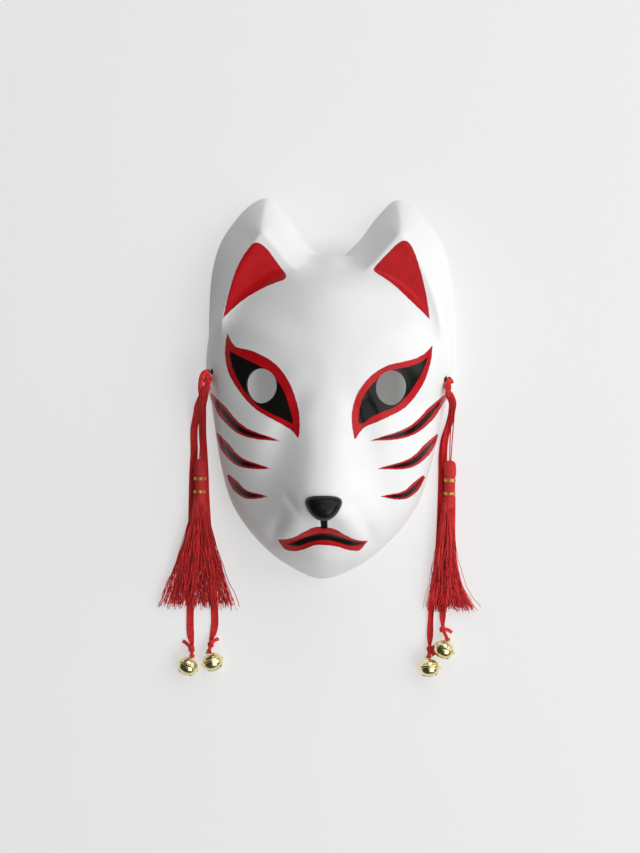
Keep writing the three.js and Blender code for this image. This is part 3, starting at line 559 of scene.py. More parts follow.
def add_tassel_cord(side):
    """Two thin silk cords side by side, which part between the knot and the tassel.

    Half the gap: 0.42 + 0.45 sin(pi s)."""
    route = tassel_cord_routes[side]
    path = smooth_path([np.array(route[0]) + [0, 2.4, -1.2], *route, np.array(route[-1]) + [0, -1.2, 0]], 90)
    share = np.linspace(0, 1, len(path))
    level = unit(np.cross(np.gradient(path, axis=0), [0, 0, 1.0]))
    half_gap = (0.42 + 0.45 * np.sin(np.pi * share))[:, None]
    pair = np.stack([path - half_gap * level, path + half_gap * level])
    points, faces, uvs = swept(pair, round_outline(SILK_RADIUS, 8))
    piece = make_piece("silk_cord_" + side, points, faces, silk, uvs, tone=np.full(len(points), 0.45))
    stand_for("tassel_cord_" + side)
    return path_length(path)


cord_lengths = {"strap": add_strap()}
for side, length in TASSEL_CORD_LENGTHS.items():
    cord_lengths["tassel cord " + side] = add_tassel_cord(side)
ribbons = {name: add_ribbon(name, form["fold"]) for name, form in RIBBONS.items()}
for name, (_, path) in ribbons.items():
    cord_lengths["ribbon " + name] = path_length(path)
print("cord lengths in mm:", {name: round(length, 1) for name, length in cord_lengths.items()})

# %% [markdown]
# ## The face as a height over the rim's plane
# The shell was pressed over a mould, so every point of it can be given as one height above the table. Three forms make
# that height: a dome whose edge stands upright at the rim, a muzzle that rises along the middle line, and two ears,
# each a flat front with sloping walls. Rounded maxima join them, as plastic does over a mould. It could be sculpted by
# hand, but then every correction against the photograph would be a new session with a brush.

# %% The dome and the muzzle
CROWN, MUZZLE = 62.0, 26.0
FACE_Y = -0.037 * HALF_HEIGHT
RIM = [
    (0, -1), (0.258, -0.94), (0.508, -0.817), (0.732, -0.628), (0.838, -0.43), (0.94, -0.1), (1, 0.085), (0.985, 0.3),
    (0.9, 0.48), (0.7, 0.61), (0.4, 0.685), (0, 0.7),
]
MUZZLE_ALONG = [
    (-1.2, 0), (-0.95, 0), (-0.9, 0.31), (-0.85, 0.47), (-0.8, 0.46), (-0.755, 0.55), (-0.7, 0.73), (-0.637, 0.9),
    (-0.59, 0.97), (-0.52, 0.96), (-0.37, 0.57), (-0.15, 0.15), (0.07, 0.07), (0.3, 0.13), (0.52, 0.2), (0.64, 0),
    (1.2, 0),
]
MUZZLE_WIDTHS = [
    (-1.2, 0.4), (-0.9, 0.4), (-0.7, 0.4), (-0.59, 0.36), (-0.45, 0.3), (-0.3, 0.23), (-0.08, 0.2), (0.2, 0.5),
    (0.5, 0.6), (1.2, 0.6),
]


def softened(table, blur):
    """A table of (at, value) rows as two dense columns, its corners rounded over about blur."""
    at, value = np.array(table).T
    step = 0.004
    reach = 60
    dense = np.arange(at[0], at[-1], step)
    bell = np.exp(-0.5 * (np.arange(-reach, reach + 1) * step / blur) ** 2)
    padded = np.pad(np.interp(dense, at, value), reach, mode="edge")
    return dense, np.convolve(padded, bell / bell.sum(), mode="valid")


def rim_table():
    """Distance of the rim from the face's middle against the angle from +X."""
    right = np.array(RIM) * [HALF_WIDTH, HALF_HEIGHT]
    left = right[1:-1][::-1] * [-1, 1]
    rim = smooth_path(np.vstack([right, left]), 1440, closed=True) - [0, FACE_Y]
    angle = np.arctan2(rim[:, 1], rim[:, 0])
    order = np.argsort(angle)
    return angle[order], np.hypot(*rim.T)[order]


rim_angles, rim_reaches = rim_table()
along_table, width_table = softened(MUZZLE_ALONG, 0.022), softened(MUZZLE_WIDTHS, 0.05)


def blob(x, y, at, size, turn=0.0):
    """exp(-(u/a)^2 - (v/b)^2), with u and v measured from at and turned by turn degrees."""
    c, s = math.cos(math.radians(turn)), math.sin(math.radians(turn))
    dx, dy = x - at[0], y - at[1]
    return np.exp(-(((c * dx + s * dy) / size[0]) ** 2) - ((c * dy - s * dx) / size[1]) ** 2)


CARVING = {
    "eye socket": (-2.6, (45, 2), (21, 13), -35),
    "side of the muzzle": (-2.2, (25, -22), (9, 26), 24),
    "brow": (1.5, (38, 36), (30, 10), 16),
    "cheek": (1.2, (52, -38), (20, 22), 0),
    "whisker pad": (4.4, (19.5, -93), (9.5, 13), 23),
    "crease beside the nose": (-2.6, (20, -79), (2.8, 7.5), -39),
    "hollow over the lips": (-1.7, (14, -103), (16, 3), -12),
    "edge of the pad": (-2.4, (31, -96), (4.6, 15), 23),
    "chin": (1.9, (0, -119), (13, 7), 0),
    "groove under the nose": (-1.2, (0, -91), (1.8, 4), 0),
}


def carving(x, y):
    """What the mould adds to the smooth face, in mm, the same on both sides: height * blob for each row."""
    return sum(height * blob(np.abs(x), y, at, size, turn) for height, at, size, turn in CARVING.values())


def dome_height(x, y):
    """(1 - share^p)^(1/p) * (crown + muzzle), where share is how far out towards the rim the point is and
    p = 2 + 1.2 down^2 + 0.55 up^12 squares the chin and the crown. It falls back at the ears' inner feet."""
    dx, dy = x, y - FACE_Y
    angle = np.arctan2(dy, dx)
    share = np.minimum(1, np.hypot(dx, dy) / np.interp(angle, rim_angles, rim_reaches, period=2 * np.pi))
    sine = np.sin(angle)
    power = 2 + 1.2 * np.maximum(0, -sine) ** 2 + 0.55 * np.maximum(0, sine) ** 12
    fallen = 1 - 0.45 * blob(np.hypot(x, 7), y, (13, 91), (12, 8))
    dome = fallen * (1 - share**power) ** (1 / power)
    level = y / HALF_HEIGHT
    across = np.abs(x) / HALF_WIDTH / np.interp(level, *width_table)
    muzzle = MUZZLE * np.interp(level, *along_table) * np.exp(-(across**2.6))
    inner = np.clip((1 - share) / 0.12, 0, 1)
    return dome * (CROWN + muzzle) + carving(x, y) * inner**2 * (3 - 2 * inner)


bridge = float(dome_height(np.array([0.0]), np.array([-70.0]))[0])
print("rim", len(rim_angles), "points; nose bridge at", round(bridge, 1), "mm")

# %% [markdown]
# An ear is a pressed pyramid with its top cut off aslant: a closed line where it leaves the face, and a closed ridge
# round its front. Distances from these two lines give a wall of even slope all the way round. Two lofted pieces would
# look the same, but a height can be joined to the face with a rounded corner in one step.

# %% The ears
EAR_FRONT, EAR_LEAN, EAR_LEVEL = 36.0, 0.08, 40
EAR_FADE = (8, 48)
EAR = [
    (0.08, 0.652, 0.215, 0.563), (0.247, 0.8, 0.351, 0.663), (0.397, 0.93, 0.47, 0.756), (0.527, 1, 0.548, 0.807),
    (0.658, 0.963, 0.612, 0.748), (0.796, 0.867, 0.697, 0.667), (0.907, 0.748, 0.765, 0.581),
    (0.969, 0.593, 0.816, 0.489), (0.993, 0.407, 0.859, 0.37), (0.99, 0.222, 0.876, 0.252),
    (0.952, 0.089, 0.862, 0.148), (0.624, 0.222, 0.624, 0.267), (0.283, 0.444, 0.317, 0.459),
]
ear_rows = np.array(EAR) * [HALF_WIDTH, HALF_HEIGHT, HALF_WIDTH, HALF_HEIGHT]
ear_foot = smooth_path(ear_rows[:, :2], 240, closed=True)
ear_ridge = smooth_path(ear_rows[:, 2:], 240, closed=True)


def signed_distance(x, y, outline):
    """Distance in the plane from each point to a closed outline, positive inside it."""
    nearest = np.full(x.shape, 1e12)
    inside = np.zeros(x.shape, bool)
    for (ax, ay), (bx, by) in zip(outline, np.roll(outline, -1, axis=0)):
        ex, ey = bx - ax, by - ay
        t = np.clip(((x - ax) * ex + (y - ay) * ey) / max(ex * ex + ey * ey, 1e-9), 0, 1)
        nearest = np.minimum(nearest, (x - ax - t * ex) ** 2 + (y - ay - t * ey) ** 2)
        if ey:
            inside ^= ((ay > y) != (by > y)) & (x < ax + (y - ay) * ex / ey)
    return np.where(inside, 1, -1) * np.sqrt(nearest)


def rounded_max(a, b, radius):
    """max(a, b), filled where the two are closer than radius: + max(0, radius - |a - b|)^2 / (4 radius)."""
    radius = np.maximum(radius, 1e-6)
    return np.maximum(a, b) + np.maximum(0, radius - np.abs(a - b)) ** 2 / (4 * radius)


def ear_height(x, y):
    """The lower of a wall, front * d / (d - e), and the front's plane, where d and e are the signed distances to the
    ear's foot and to its ridge. Low down the front rises out of the temple by 3 r^2 - 2 r^3."""
    height = np.zeros(x.shape)
    near = (y > 5) & (np.abs(x) > 4)
    a, b = np.abs(x[near]), y[near]
    foot, ridge = signed_distance(a, b, ear_foot), signed_distance(a, b, ear_ridge)
    risen = np.clip((b - EAR_FADE[0]) / (EAR_FADE[1] - EAR_FADE[0]), 0, 1)
    front = risen**2 * (3 - 2 * risen) * (EAR_FRONT - EAR_LEAN * (b - EAR_LEVEL))
    wall = front * np.clip(foot / np.maximum(foot - ridge, 0.5), 0, 1.5)
    height[near] = np.maximum(0, -rounded_max(-wall, -front, np.minimum(2.6, 0.3 * front + 0.2)))
    return height


def face_height(x, y):
    """The outside of the shell above a point of the rim's plane, before it leans."""
    dome, ear = dome_height(x, y), ear_height(x, y)
    radius = np.interp(y, (30, 70), (9.0, 3.5))
    return rounded_max(dome, ear, radius * np.clip(np.minimum(dome, ear) / 8, 0, 1))


print("ear tip at", round(float(face_height(np.array([47.0]), np.array([105.0]))[0]), 1), "mm")

# %% [markdown]
# ## The painted outlines
# The festival painter's strokes: a black almond round each peephole with a red band, red inside the ears, red lips
# with a dark line, and three whisker strokes a cheek. Each is a closed outline in the rim's plane, drawn as one or two
# smooth arcs between its sharp tips. The brush never makes two sides alike, so left and right have their own. A painted
# picture could be wrapped over the face, but it would blur close up, and outlines don't.

# %% Outlines of the paint


def arcs(*pieces):
    """A closed outline from smooth arcs, each a list of points, that meet at sharp tips."""
    return np.concatenate([smooth_path(piece, 4 * len(piece))[:-1] for piece in pieces])


def stroke(points, widths):
    """A brush stroke's outline: the points of its middle line with a half width at each, pointed at both ends."""
    middle = smooth_path(points, 28)
    half = np.interp(np.linspace(0, 1, 28), np.linspace(0, 1, len(widths)), widths)[:, None]
    along = unit(np.gradient(middle, axis=0))
    side = np.stack([-along[:, 1], along[:, 0]], axis=-1)
    return np.concatenate([middle + half * side, (middle - half * side)[::-1]])


red_eyes = [
    arcs(
        [(-70.2, 37.3), (-63.9, 28.2), (-53.2, 25.7), (-44.2, 21.8), (-36, 16.9), (-29.7, 10.2), (-24.6, 2.3),
         (-20.8, -7.4), (-18.1, -17.7), (-17.5, -26.8), (-18.2, -35)],
        [(-18.2, -35), (-22.2, -30), (-28.6, -25.9), (-37.4, -21.4), (-47.6, -15.8), (-55.3, -9.2), (-61.8, -1.2),
         (-67.8, 8), (-71, 18.6), (-71.5, 27.9), (-70.2, 37.3)],
    ),
    arcs(
        [(72.9, 31), (68.2, 25.8), (62, 22), (53.3, 19.3), (43.5, 16.9), (36.8, 13.7), (30.2, 8.6), (24.1, 1.2),
         (20, -6.8), (18, -16), (18.1, -25.1), (20.1, -35.4)],
        [(20.1, -35.4), (23.1, -30.5), (27, -26.2), (34.3, -23.1), (43.4, -18.7), (52, -14.3), (58.7, -8.1),
         (64.9, 0.6), (69.1, 9.4), (71.8, 18.8), (72.7, 25.1), (72.9, 31)],
    ),
]
black_eyes = [
    arcs(
        [(-68.1, 25.4), (-60.2, 21.1), (-50.5, 16.8), (-42.8, 12.8), (-35.9, 7.1), (-30.2, -0.2), (-26.4, -8.7),
         (-23.7, -17.8), (-21.7, -25.1)],
        [(-21.7, -25.1), (-29.3, -21.6), (-37.4, -18.1), (-47, -12.7), (-54.1, -6), (-59.9, 1.9), (-65.3, 12.4),
         (-67.7, 20.4), (-68.1, 25.4)],
    ),
    arcs(
        [(70.8, 23.4), (63.3, 18.5), (56.5, 15.9), (49, 14.2), (41.1, 11.3), (34.4, 6.3), (29.1, 0.1), (24.9, -7.3),
         (22.9, -15.3), (22.4, -23.2)],
        [(22.4, -23.2), (24.5, -24.1), (31.2, -19.4), (40.3, -15.1), (47.7, -11.9), (55, -5), (61, 3.1), (66.5, 13.1),
         (69.8, 21.8), (70.8, 23.4)],
    ),
]
ear_triangles = [
    arcs(
        [(-73.2, 47.6), (-68.5, 69.7), (-62.6, 86.9), (-53.5, 100.3), (-50.3, 101.2), (-46.5, 99.5), (-42.5, 95.8),
         (-36.1, 87.2), (-29.3, 78.2), (-29.4, 76.2), (-31.2, 74.8)],
        [(-31.2, 74.8), (-43.5, 70), (-57.4, 62), (-66, 55), (-73.2, 47.6)],
    ),
    arcs(
        [(71, 48.4), (67.7, 68.3), (63.6, 83.9), (58.7, 97.9), (55.5, 102.6), (52.4, 104), (48.5, 102.3), (40.5, 94.5),
         (32, 85), (31, 83), (32.4, 81.4)],
        [(32.4, 81.4), (45.1, 72.7), (57.7, 61.2), (65, 54.5), (71, 48.4)],
    ),
]
lips = arcs(
    [(-32.3, -104.9), (-27, -104.4), (-21.4, -102.7), (-12.5, -97.6), (-6.4, -94.5), (0.9, -94.2), (8.2, -95.8),
     (15.4, -100.4), (22.7, -103.9), (30.2, -105)],
    [(30.2, -105), (27.5, -108.5), (24, -111.9), (16.7, -110.9), (8.2, -108.2), (-0.4, -107.3), (-6.5, -107.8),
     (-12.7, -110.6), (-19.1, -112.6), (-26.7, -112), (-30.5, -108.1), (-32.3, -104.9)],
)
lip_line = stroke(
    [(-26, -108), (-19, -107.2), (-11, -103.8), (-3, -101.4), (5, -101.7), (13, -104.3), (20, -106.4), (28, -106.6)],
    [0.4, 1.9, 2.2, 2.4, 2.4, 2.1, 1.8, 0.4],
)
philtrum = stroke([(0.2, -86), (0.3, -90), (0.5, -95.5)], [2.8, 2.3, 2.3])
whiskers = []
whisker_cores = []
for side, lift in ((-1, 0.0), (1, 1.2)):
    for start, bend, end, width in (
        ((30, -37), (60, -29), (84, -5), 3.7),
        ((36, -56), (61, -51), (79, -33), 3.6),
        ((38, -75), (56, -74), (69, -62), 3.2),
    ):
        line = [(side * x, y + lift) for x, y in (start, bend, end)]
        whiskers.append(stroke(line, [0.1, 0.6 * width, 0.95 * width, 1.1 * width, 0.4 * width]))
        core = [(0.9 * x + 0.1 * line[1][0], 0.9 * y + 0.1 * line[1][1]) for x, y in line]
        whisker_cores.append(stroke(core, [0, 0.3 * width, 0.5 * width, 0.45 * width, 0.1]))


def painted(x, y, outlines, margin=6.0):
    """The largest signed distance to any of the outlines, kept above -margin."""
    depth = np.full(x.shape, -margin)
    for outline in outlines:
        low, high = outline.min(axis=0) - margin, outline.max(axis=0) + margin
        near = (x > low[0]) & (x < high[0]) & (y > low[1]) & (y < high[1])
        depth[near] = np.maximum(depth[near], signed_distance(x[near], y[near], outline))
    return depth


print("outlines:", len(red_eyes + black_eyes + ear_triangles), "on eyes and ears,", len(whiskers), "whisker strokes")

# %% [markdown]
# ## Shell materials
# Glossy enamel on satin white plastic. The signed distances to the outlines are stored with the shell's points, so a
# threshold on them draws a crisp edge at any resolution, and a little noise gives it the waver of a brush. Cutting the
# painted areas out as faces of their own would give the same edge, but no waver. Paint pools darker at its edge and
# stands a tenth of a millimetre proud.

# %% Painted plastic, raw plastic and black enamel


def painted_plastic():
    """White, then red, then dark, by the distances stored as `red` and `black`."""
    made, tree, shader = material("painted_shell", (0.9, 0.9, 0.89), 0.4, Specular_IOR_Level=0.16)
    waver = calc(tree, "MULTIPLY", calc(tree, "SUBTRACT", noise(tree, 320, 2), 0.5), 0.7)
    red_depth = calc(tree, "ADD", attribute(tree, "red"), waver)
    black_depth = calc(tree, "ADD", attribute(tree, "black"), waver)
    red, black = ranged(tree, red_depth, -0.18, 0.18), ranged(tree, black_depth, -0.18, 0.18)
    white = mixed(tree, ranged(tree, noise(tree, 22, 4), 0.35, 0.7), (0.93, 0.93, 0.925, 1), (0.88, 0.885, 0.88, 1))
    streak = ranged(tree, noise(tree, 90, 3), 0.35, 0.7)
    enamel = mixed(tree, streak, (0.5, 0.006, 0.01, 1), (0.6, 0.011, 0.015, 1))
    edge = ranged(tree, red_depth, 0.1, 1.3, 1, 0)
    enamel = mixed(tree, calc(tree, "MULTIPLY", edge, 0.45), enamel, (0.34, 0.006, 0.03, 1))
    colour = mixed(tree, red, white, enamel)
    ink = mixed(tree, ranged(tree, black_depth, 0.1, 1.0), (0.04, 0.004, 0.005, 1), (0.008, 0.008, 0.007, 1))
    colour = mixed(tree, black, colour, ink)
    tree.links.new(colour, shader.inputs["Base Color"])
    worn = ranged(tree, noise(tree, 60, 5), 0.3, 0.7, 0.36, 0.46)
    rough = calc(tree, "SUBTRACT", worn, calc(tree, "MULTIPLY", red, 0.1))
    rough = calc(tree, "SUBTRACT", rough, calc(tree, "MULTIPLY", black, 0.14))
    tree.links.new(rough, shader.inputs["Roughness"])
    grain = calc(tree, "MULTIPLY", noise(tree, 1500, 2), 0.05)
    height = calc(tree, "ADD", calc(tree, "ADD", red, black), grain)
    bumped(tree, shader, height, 0.0001, 0.7)
    return made


def raw_plastic():
    """The unpainted inside, with the faint flow marks of moulding."""
    made, tree, shader = material("raw_plastic", (0.82, 0.82, 0.8), 0.5)
    flow = ranged(tree, noise(tree, 35, 5, roughness=0.6), 0.3, 0.7)
    tree.links.new(mixed(tree, flow, (0.84, 0.84, 0.82, 1), (0.78, 0.78, 0.75, 1)), shader.inputs["Base Color"])
    bumped(tree, shader, noise(tree, 500, 3), 0.0001, 0.5)
    return made


def black_enamel():
    """The nose: thick gloss black with faint brush marks."""
    made, tree, shader = material("nose_enamel", (0.006, 0.006, 0.006), 0.3, Specular_IOR_Level=0.22)
    marks = ranged(tree, noise(tree, 240, 3), 0.3, 0.75, 0.24, 0.42)
    tree.links.new(marks, shader.inputs["Roughness"])
    bumped(tree, shader, noise(tree, 420, 2), 0.00015, 0.35)
    return made


shell_paint, shell_raw, nose_black = painted_plastic(), raw_plastic(), black_enamel()
print("shell materials:", [made.name for made in (shell_paint, shell_raw, nose_black)])

# %% [markdown]
# ## The shell
# Spokes run from the middle of the face to the rim, evenly spaced along the rim, and each is cut into steps of equal
# length over the surface, so that steep walls get as many points as flat ones; a square grid would tear on them. The
# inside is the same surface, smoothed a little and moved in by the wall. Solidify would thicken it too, but would leave
# the rim uneven, and the mask lies on its rim.

# %% Build the shell
WALL = 2.4
SPOKES, RINGS, INNER_RINGS, SMOOTHINGS = 600, 112, 30, 8


def rim_reach(angles):
    """The farthest crossing of each ray from the face's middle with the face's rim or an ear's foot."""
    reach = np.interp(angles, rim_angles, rim_reaches, period=2 * np.pi)
    ray = np.stack([np.cos(angles), np.sin(angles)], axis=-1)
    for mirror in (1, -1):
        start = ear_foot * [mirror, 1] - [0, FACE_Y]
        edge = np.roll(start, -1, axis=0) - start
        det = ray[:, None, 0] * edge[None, :, 1] - ray[:, None, 1] * edge[None, :, 0]
        det = np.where(np.abs(det) < 1e-9, 1e-9, det)
        far = (start[None, :, 0] * edge[None, :, 1] - start[None, :, 1] * edge[None, :, 0]) / det
        share = (start[None, :, 0] * ray[:, None, 1] - start[None, :, 1] * ray[:, None, 0]) / det
        hit = (share >= 0) & (share <= 1) & (far > 0)
        reach = np.maximum(reach, np.where(hit, far, 0).max(axis=1))
    return reach


def spokes():
    """Angles and reaches of spokes that are evenly spaced along the rim, its corners eased."""
    angles = np.linspace(-np.pi, np.pi, 4 * SPOKES, endpoint=False)
    reach = rim_reach(angles)
    reach = sum(w * np.roll(reach, k) for k, w in zip(range(-3, 4), (1, 2, 3, 4, 3, 2, 1))) / 16
    rim = reach[:, None] * np.stack([np.cos(angles), np.sin(angles)], axis=-1)
    step = np.linalg.norm(np.roll(rim, -1, axis=0) - rim, axis=1)
    gone = np.concatenate([[0], np.cumsum(step)])
    at = np.linspace(0, gone[-1], SPOKES, endpoint=False)
    picked = np.interp(at, gone, np.append(angles, np.pi))
    return picked, np.interp(picked, angles, reach, period=2 * np.pi)


def outer_grid():
    """Points of the outside, (spoke, ring, 3), from the middle to the rim."""
    angles, reach = spokes()

    def raised(out):
        """The points of the face at distances out along the spokes, the last of each on the rim."""
        x, y = out * np.cos(angles)[:, None], FACE_Y + out * np.sin(angles)[:, None]
        z = face_height(x, y)
        z[:, -1] = 0
        return np.stack([x, y, z], axis=-1)

    share = 1 - (1 - np.linspace(0, 1, 260)) ** 2
    out = reach[:, None] * share
    z = raised(out)[..., 2]
    gone = np.cumsum(np.hypot(np.diff(out, axis=1, prepend=0), np.diff(z, axis=1, prepend=z[:, :1])), axis=1)
    at = gone[:, -1:] * np.linspace(0, 1, RINGS + 1)
    return raised(np.stack([np.interp(at[i], gone[i], out[i]) for i in range(SPOKES)]))


def inner_grid(outer):
    """The outside, smoothed and moved in by the wall, from the middle to where it meets the rim's plane."""
    grid = outer.copy()
    for _ in range(SMOOTHINGS):
        around = (np.roll(grid, 1, axis=0) + np.roll(grid, -1, axis=0)) / 2
        grid[:, 1:-1] = (grid[:, 1:-1] + around[:, 1:-1] + (grid[:, :-2] + grid[:, 2:]) / 2) / 3
    grid[:, 0] = outer[:, 0]
    outwards = np.gradient(grid, axis=1)
    around = np.roll(grid, -1, axis=0) - np.roll(grid, 1, axis=0)
    normal = unit(np.cross(outwards, around))
    normal[:, 0] = [0, 0, 1]
    grid = grid - WALL * normal
    above = grid[..., 2] > 0
    last = np.minimum(RINGS - np.argmax(above[:, ::-1], axis=1), RINGS - 1)
    rows = np.arange(SPOKES)
    high, low = grid[rows, last, 2], grid[rows, last + 1, 2]
    end = last + np.clip(high / np.maximum(high - low, 1e-6), 0, 1)
    at = end[:, None] * np.linspace(0, 1, INNER_RINGS + 1)
    floor = np.minimum(at.astype(int), RINGS - 1)
    part = (at - floor)[..., None]
    inner = grid[rows[:, None], floor] * (1 - part) + grid[rows[:, None], floor + 1] * part
    inner[:, -1, 2] = 0
    return inner


def shell_mesh():
    """The closed shell: outside, inside and the flat rim between them."""
    outer = outer_grid()
    inner = inner_grid(outer)
    for grid in (outer, inner):
        grid[..., 0] += lean(grid[..., 1])
    grids = [outer[:, 1:], inner[:, 1:]]
    points = np.concatenate([outer[0, :1], grids[0].reshape(-1, 3), inner[0, :1], grids[1].reshape(-1, 3)])
    outside = 1 + np.arange(SPOKES * RINGS).reshape(SPOKES, RINGS)
    middle = 1 + SPOKES * RINGS
    inside = middle + 1 + np.arange(SPOKES * INNER_RINGS).reshape(SPOKES, INNER_RINGS)

    def quads(a, b):
        """Quads between two rows of the grid and the next spoke."""
        return np.stack([a, b, np.roll(b, -1, axis=0), np.roll(a, -1, axis=0)], axis=-1).reshape(-1, 4)

    skin = quads(outside[:, :-1], outside[:, 1:])
    lining = quads(inside[:, 1:], inside[:, :-1])
    rim = quads(outside[:, -1:], inside[:, -1:])
    caps = [fan(0, outside[:, 0]), fan(middle, inside[:, 0], back=True)]
    picked = np.concatenate([np.zeros(len(skin)), np.ones(len(lining) + len(rim)), np.zeros(SPOKES), np.ones(SPOKES)])
    return points, [np.concatenate([skin, lining, rim]), np.concatenate(caps)], picked


shell_points, shell_faces, shell_picked = shell_mesh()
shell = make_piece("painted_shell", shell_points, shell_faces, [shell_paint, shell_raw, nose_black],
                   picked=shell_picked)
print("shell:", len(shell_points), "points before the holes are cut")

# %% [markdown]
# A peephole is a clean round hole drilled square to the plastic beside the nose, and a strap hole is a small one
# through the temple. The grid could be bent round them, but a Boolean with a cylinder leaves the sharp edge of a drill.
# The holes' walls are blackened with enamel, so they take the material of the cylinders.

# %% Cut the peepholes and the strap's holes
EYE_SPACING, EYE_LEVEL, EYE_LEAN, EYE_RADIUS, EYE_DRILL = 90.0, 1.0, 27, 12, 50
TIE_X = {"left": STRAP_LEFT + 0.5, "right": STRAP_RIGHT - 0.5}
TIE_HOLE_RADIUS, TIE_DRILL = 2.1, 16


def drill(middle, axis, radius, length, sides):
    """A cylinder as points and faces, about an axis."""
    ends = np.array([middle - axis * length / 2, middle + axis * length / 2])
    side = unit(np.cross(axis, [0, 1.0, 0]))
    return swept(ends, round_outline(radius, sides), across=np.array([side, side]))[:2]


cuts = []
for name, side in (("left", -1), ("right", 1)):
    x = side * EYE_SPACING / 2
    height = float(face_height(np.array([x - lean(EYE_LEVEL)]), np.array([EYE_LEVEL]))[0])
    axis = np.array([side * math.sin(math.radians(EYE_LEAN)), 0, math.cos(math.radians(EYE_LEAN))])
    cuts.append(drill(np.array([x, EYE_LEVEL, height]), axis, EYE_RADIUS, EYE_DRILL, 128))
    tie = np.array([TIE_X[name], TIE_LEVELS[name], TIE_HEIGHT])
    cuts.append(drill(tie, np.array([1.0, 0, 0]), TIE_HOLE_RADIUS, TIE_DRILL, 32))
shell.data = cut_out(shell, [make_piece("drills", *joined(*cuts), nose_black)])
print("shell:", len(shell.data.vertices), "points,", len(shell.data.polygons), "faces")

# %% [markdown]
# The nose is a rounded block on the muzzle's end, wide above and narrow towards the mouth, in thick black gloss. A
# bevelled cube could be pinched into it, but one formula gives its soft corners and its taper together. It is moulded
# with the face, so the two become one piece, and then the paint is laid over them.

# %% Nose and paint
NOSE_HALF, NOSE_AT = (11.4, 8.8, 10.5), (-80.8, 79)
NOSE_POWER, NOSE_TAPER = 2.6, 0.36
SHELL_SHARP = 38


def nose_grid(around=72, rings=40):
    """A superellipsoid |x|^p + |y|^p + |z|^p = 1, its width times 1 + taper * y."""
    polar = np.pi * np.arange(rings + 1) / rings
    turn = 2 * np.pi * np.arange(around) / around
    x = np.sin(polar)[:, None] * np.cos(turn)
    y = np.sin(polar)[:, None] * np.sin(turn)
    z = np.broadcast_to(np.cos(polar)[:, None], x.shape)
    size = (np.abs(x) ** NOSE_POWER + np.abs(y) ** NOSE_POWER + np.abs(z) ** NOSE_POWER) ** (-1 / NOSE_POWER)
    x, y, z = x * size, y * size, z * size
    wide, long, tall = NOSE_HALF
    grid = np.stack([x * (1 + NOSE_TAPER * y) * wide, NOSE_AT[0] + y * long, NOSE_AT[1] + z * tall], axis=-1)
    points = np.concatenate([grid[:1, 0], grid[1:-1].reshape(-1, 3), grid[-1:, 0]])
    ring = 1 + np.arange((rings - 1) * around).reshape(rings - 1, around)
    caps = [fan(0, ring[0]), fan(len(points) - 1, ring[-1], back=True)]
    return points, [ring_quads(ring[:-1], ring[1:], back=True), np.concatenate(caps)]


def paint_shell(piece):
    """Stores the distances to the outlines with the points."""
    mesh = piece.data
    place = np.empty(len(mesh.vertices) * 3, np.float32)
    mesh.vertices.foreach_get("co", place)
    x, y, _ = place.reshape(-1, 3).T.astype(float) / MM
    layers = {
        "red": red_eyes + ear_triangles + [lips] + whiskers,
        "black": black_eyes + [lip_line, philtrum] + whisker_cores,
    }
    for name, outlines in layers.items():
        layer = mesh.attributes.new(name, "FLOAT", "POINT")
        layer.data.foreach_set("value", painted(x, y, outlines).astype(np.float32))


nose = make_piece("nose_block", *nose_grid(), nose_black)
paint_shell(shell)
join_into(shell, nose)
shell.data.set_sharp_from_angle(angle=math.radians(SHELL_SHARP))
stand_for("mask_shell")
print("shell:", len(shell.data.polygons), "faces; materials", [m.name for m in shell.data.materials])

# %% [markdown]
# ## Tassels
# A tassel is a hank of silk threads folded over the cord, bound with red and then with gold thread round the neck; the
# cut threads spread into a skirt. Here the head is one ridged turned surface and every thread of the skirt is its own
# thin strand with a wave, a crimp towards its cut end and its own shade. Blender's hair would be quicker to comb, but
# it isn't a mesh, and real strands give the ragged end and its small shadows.

# %% Tassels
TASSEL_RADIUS, TASSEL_LENGTH, SKIRT_START = 4.2, 103.5, 0.28
HEAD_RIDGES, THREAD_RADII, THREAD_START = 36, (0.24, 0.42), 0.25
THREAD_WAVES = [(46, 0.9), (23, 0.55), (9, 0.28), (4.2, 0.2)]
WINDING_INNER, WINDING_OUTER = 3.65, 4.4
TASSELS = {
    "left": {"top": (-90.2, -51.4), "reach": (28.4, 26.5), "powers": (1.25, 1.25), "rest": 1.4, "strays": (0.03, 0.09)},
    "right": {"top": (87.7, -49.8), "reach": (13.8, 19.5), "powers": (0.85, 4.0), "rest": 2.4, "strays": (0.03, 0.03)},
}
SKIRT_HEIGHTS = [(0.25, 0.86), (0.29, 0.98), (0.45, 0.98), (0.65, 0.9), (0.85, 0.75), (0.985, 0.6), (1.2, 0.6)]


def skirt_shape(at, right, reach, powers):
    """Half width, half height and middle height of the skirt at a share of the tassel's length.

    Half width on a side: r + (reach - r) t^power, t = (at - start) / (1 - start)."""
    t = np.maximum(0, (at - SKIRT_START) / (1 - SKIRT_START))
    reached = np.where(right, reach[1], reach[0]) - TASSEL_RADIUS
    half = TASSEL_RADIUS + reached * t ** np.where(right, powers[1], powers[0])
    tall = np.interp(at, *np.array(SKIRT_HEIGHTS).T)
    return half, TASSEL_RADIUS * tall, HEAD - TASSEL_RADIUS * (1 - tall)


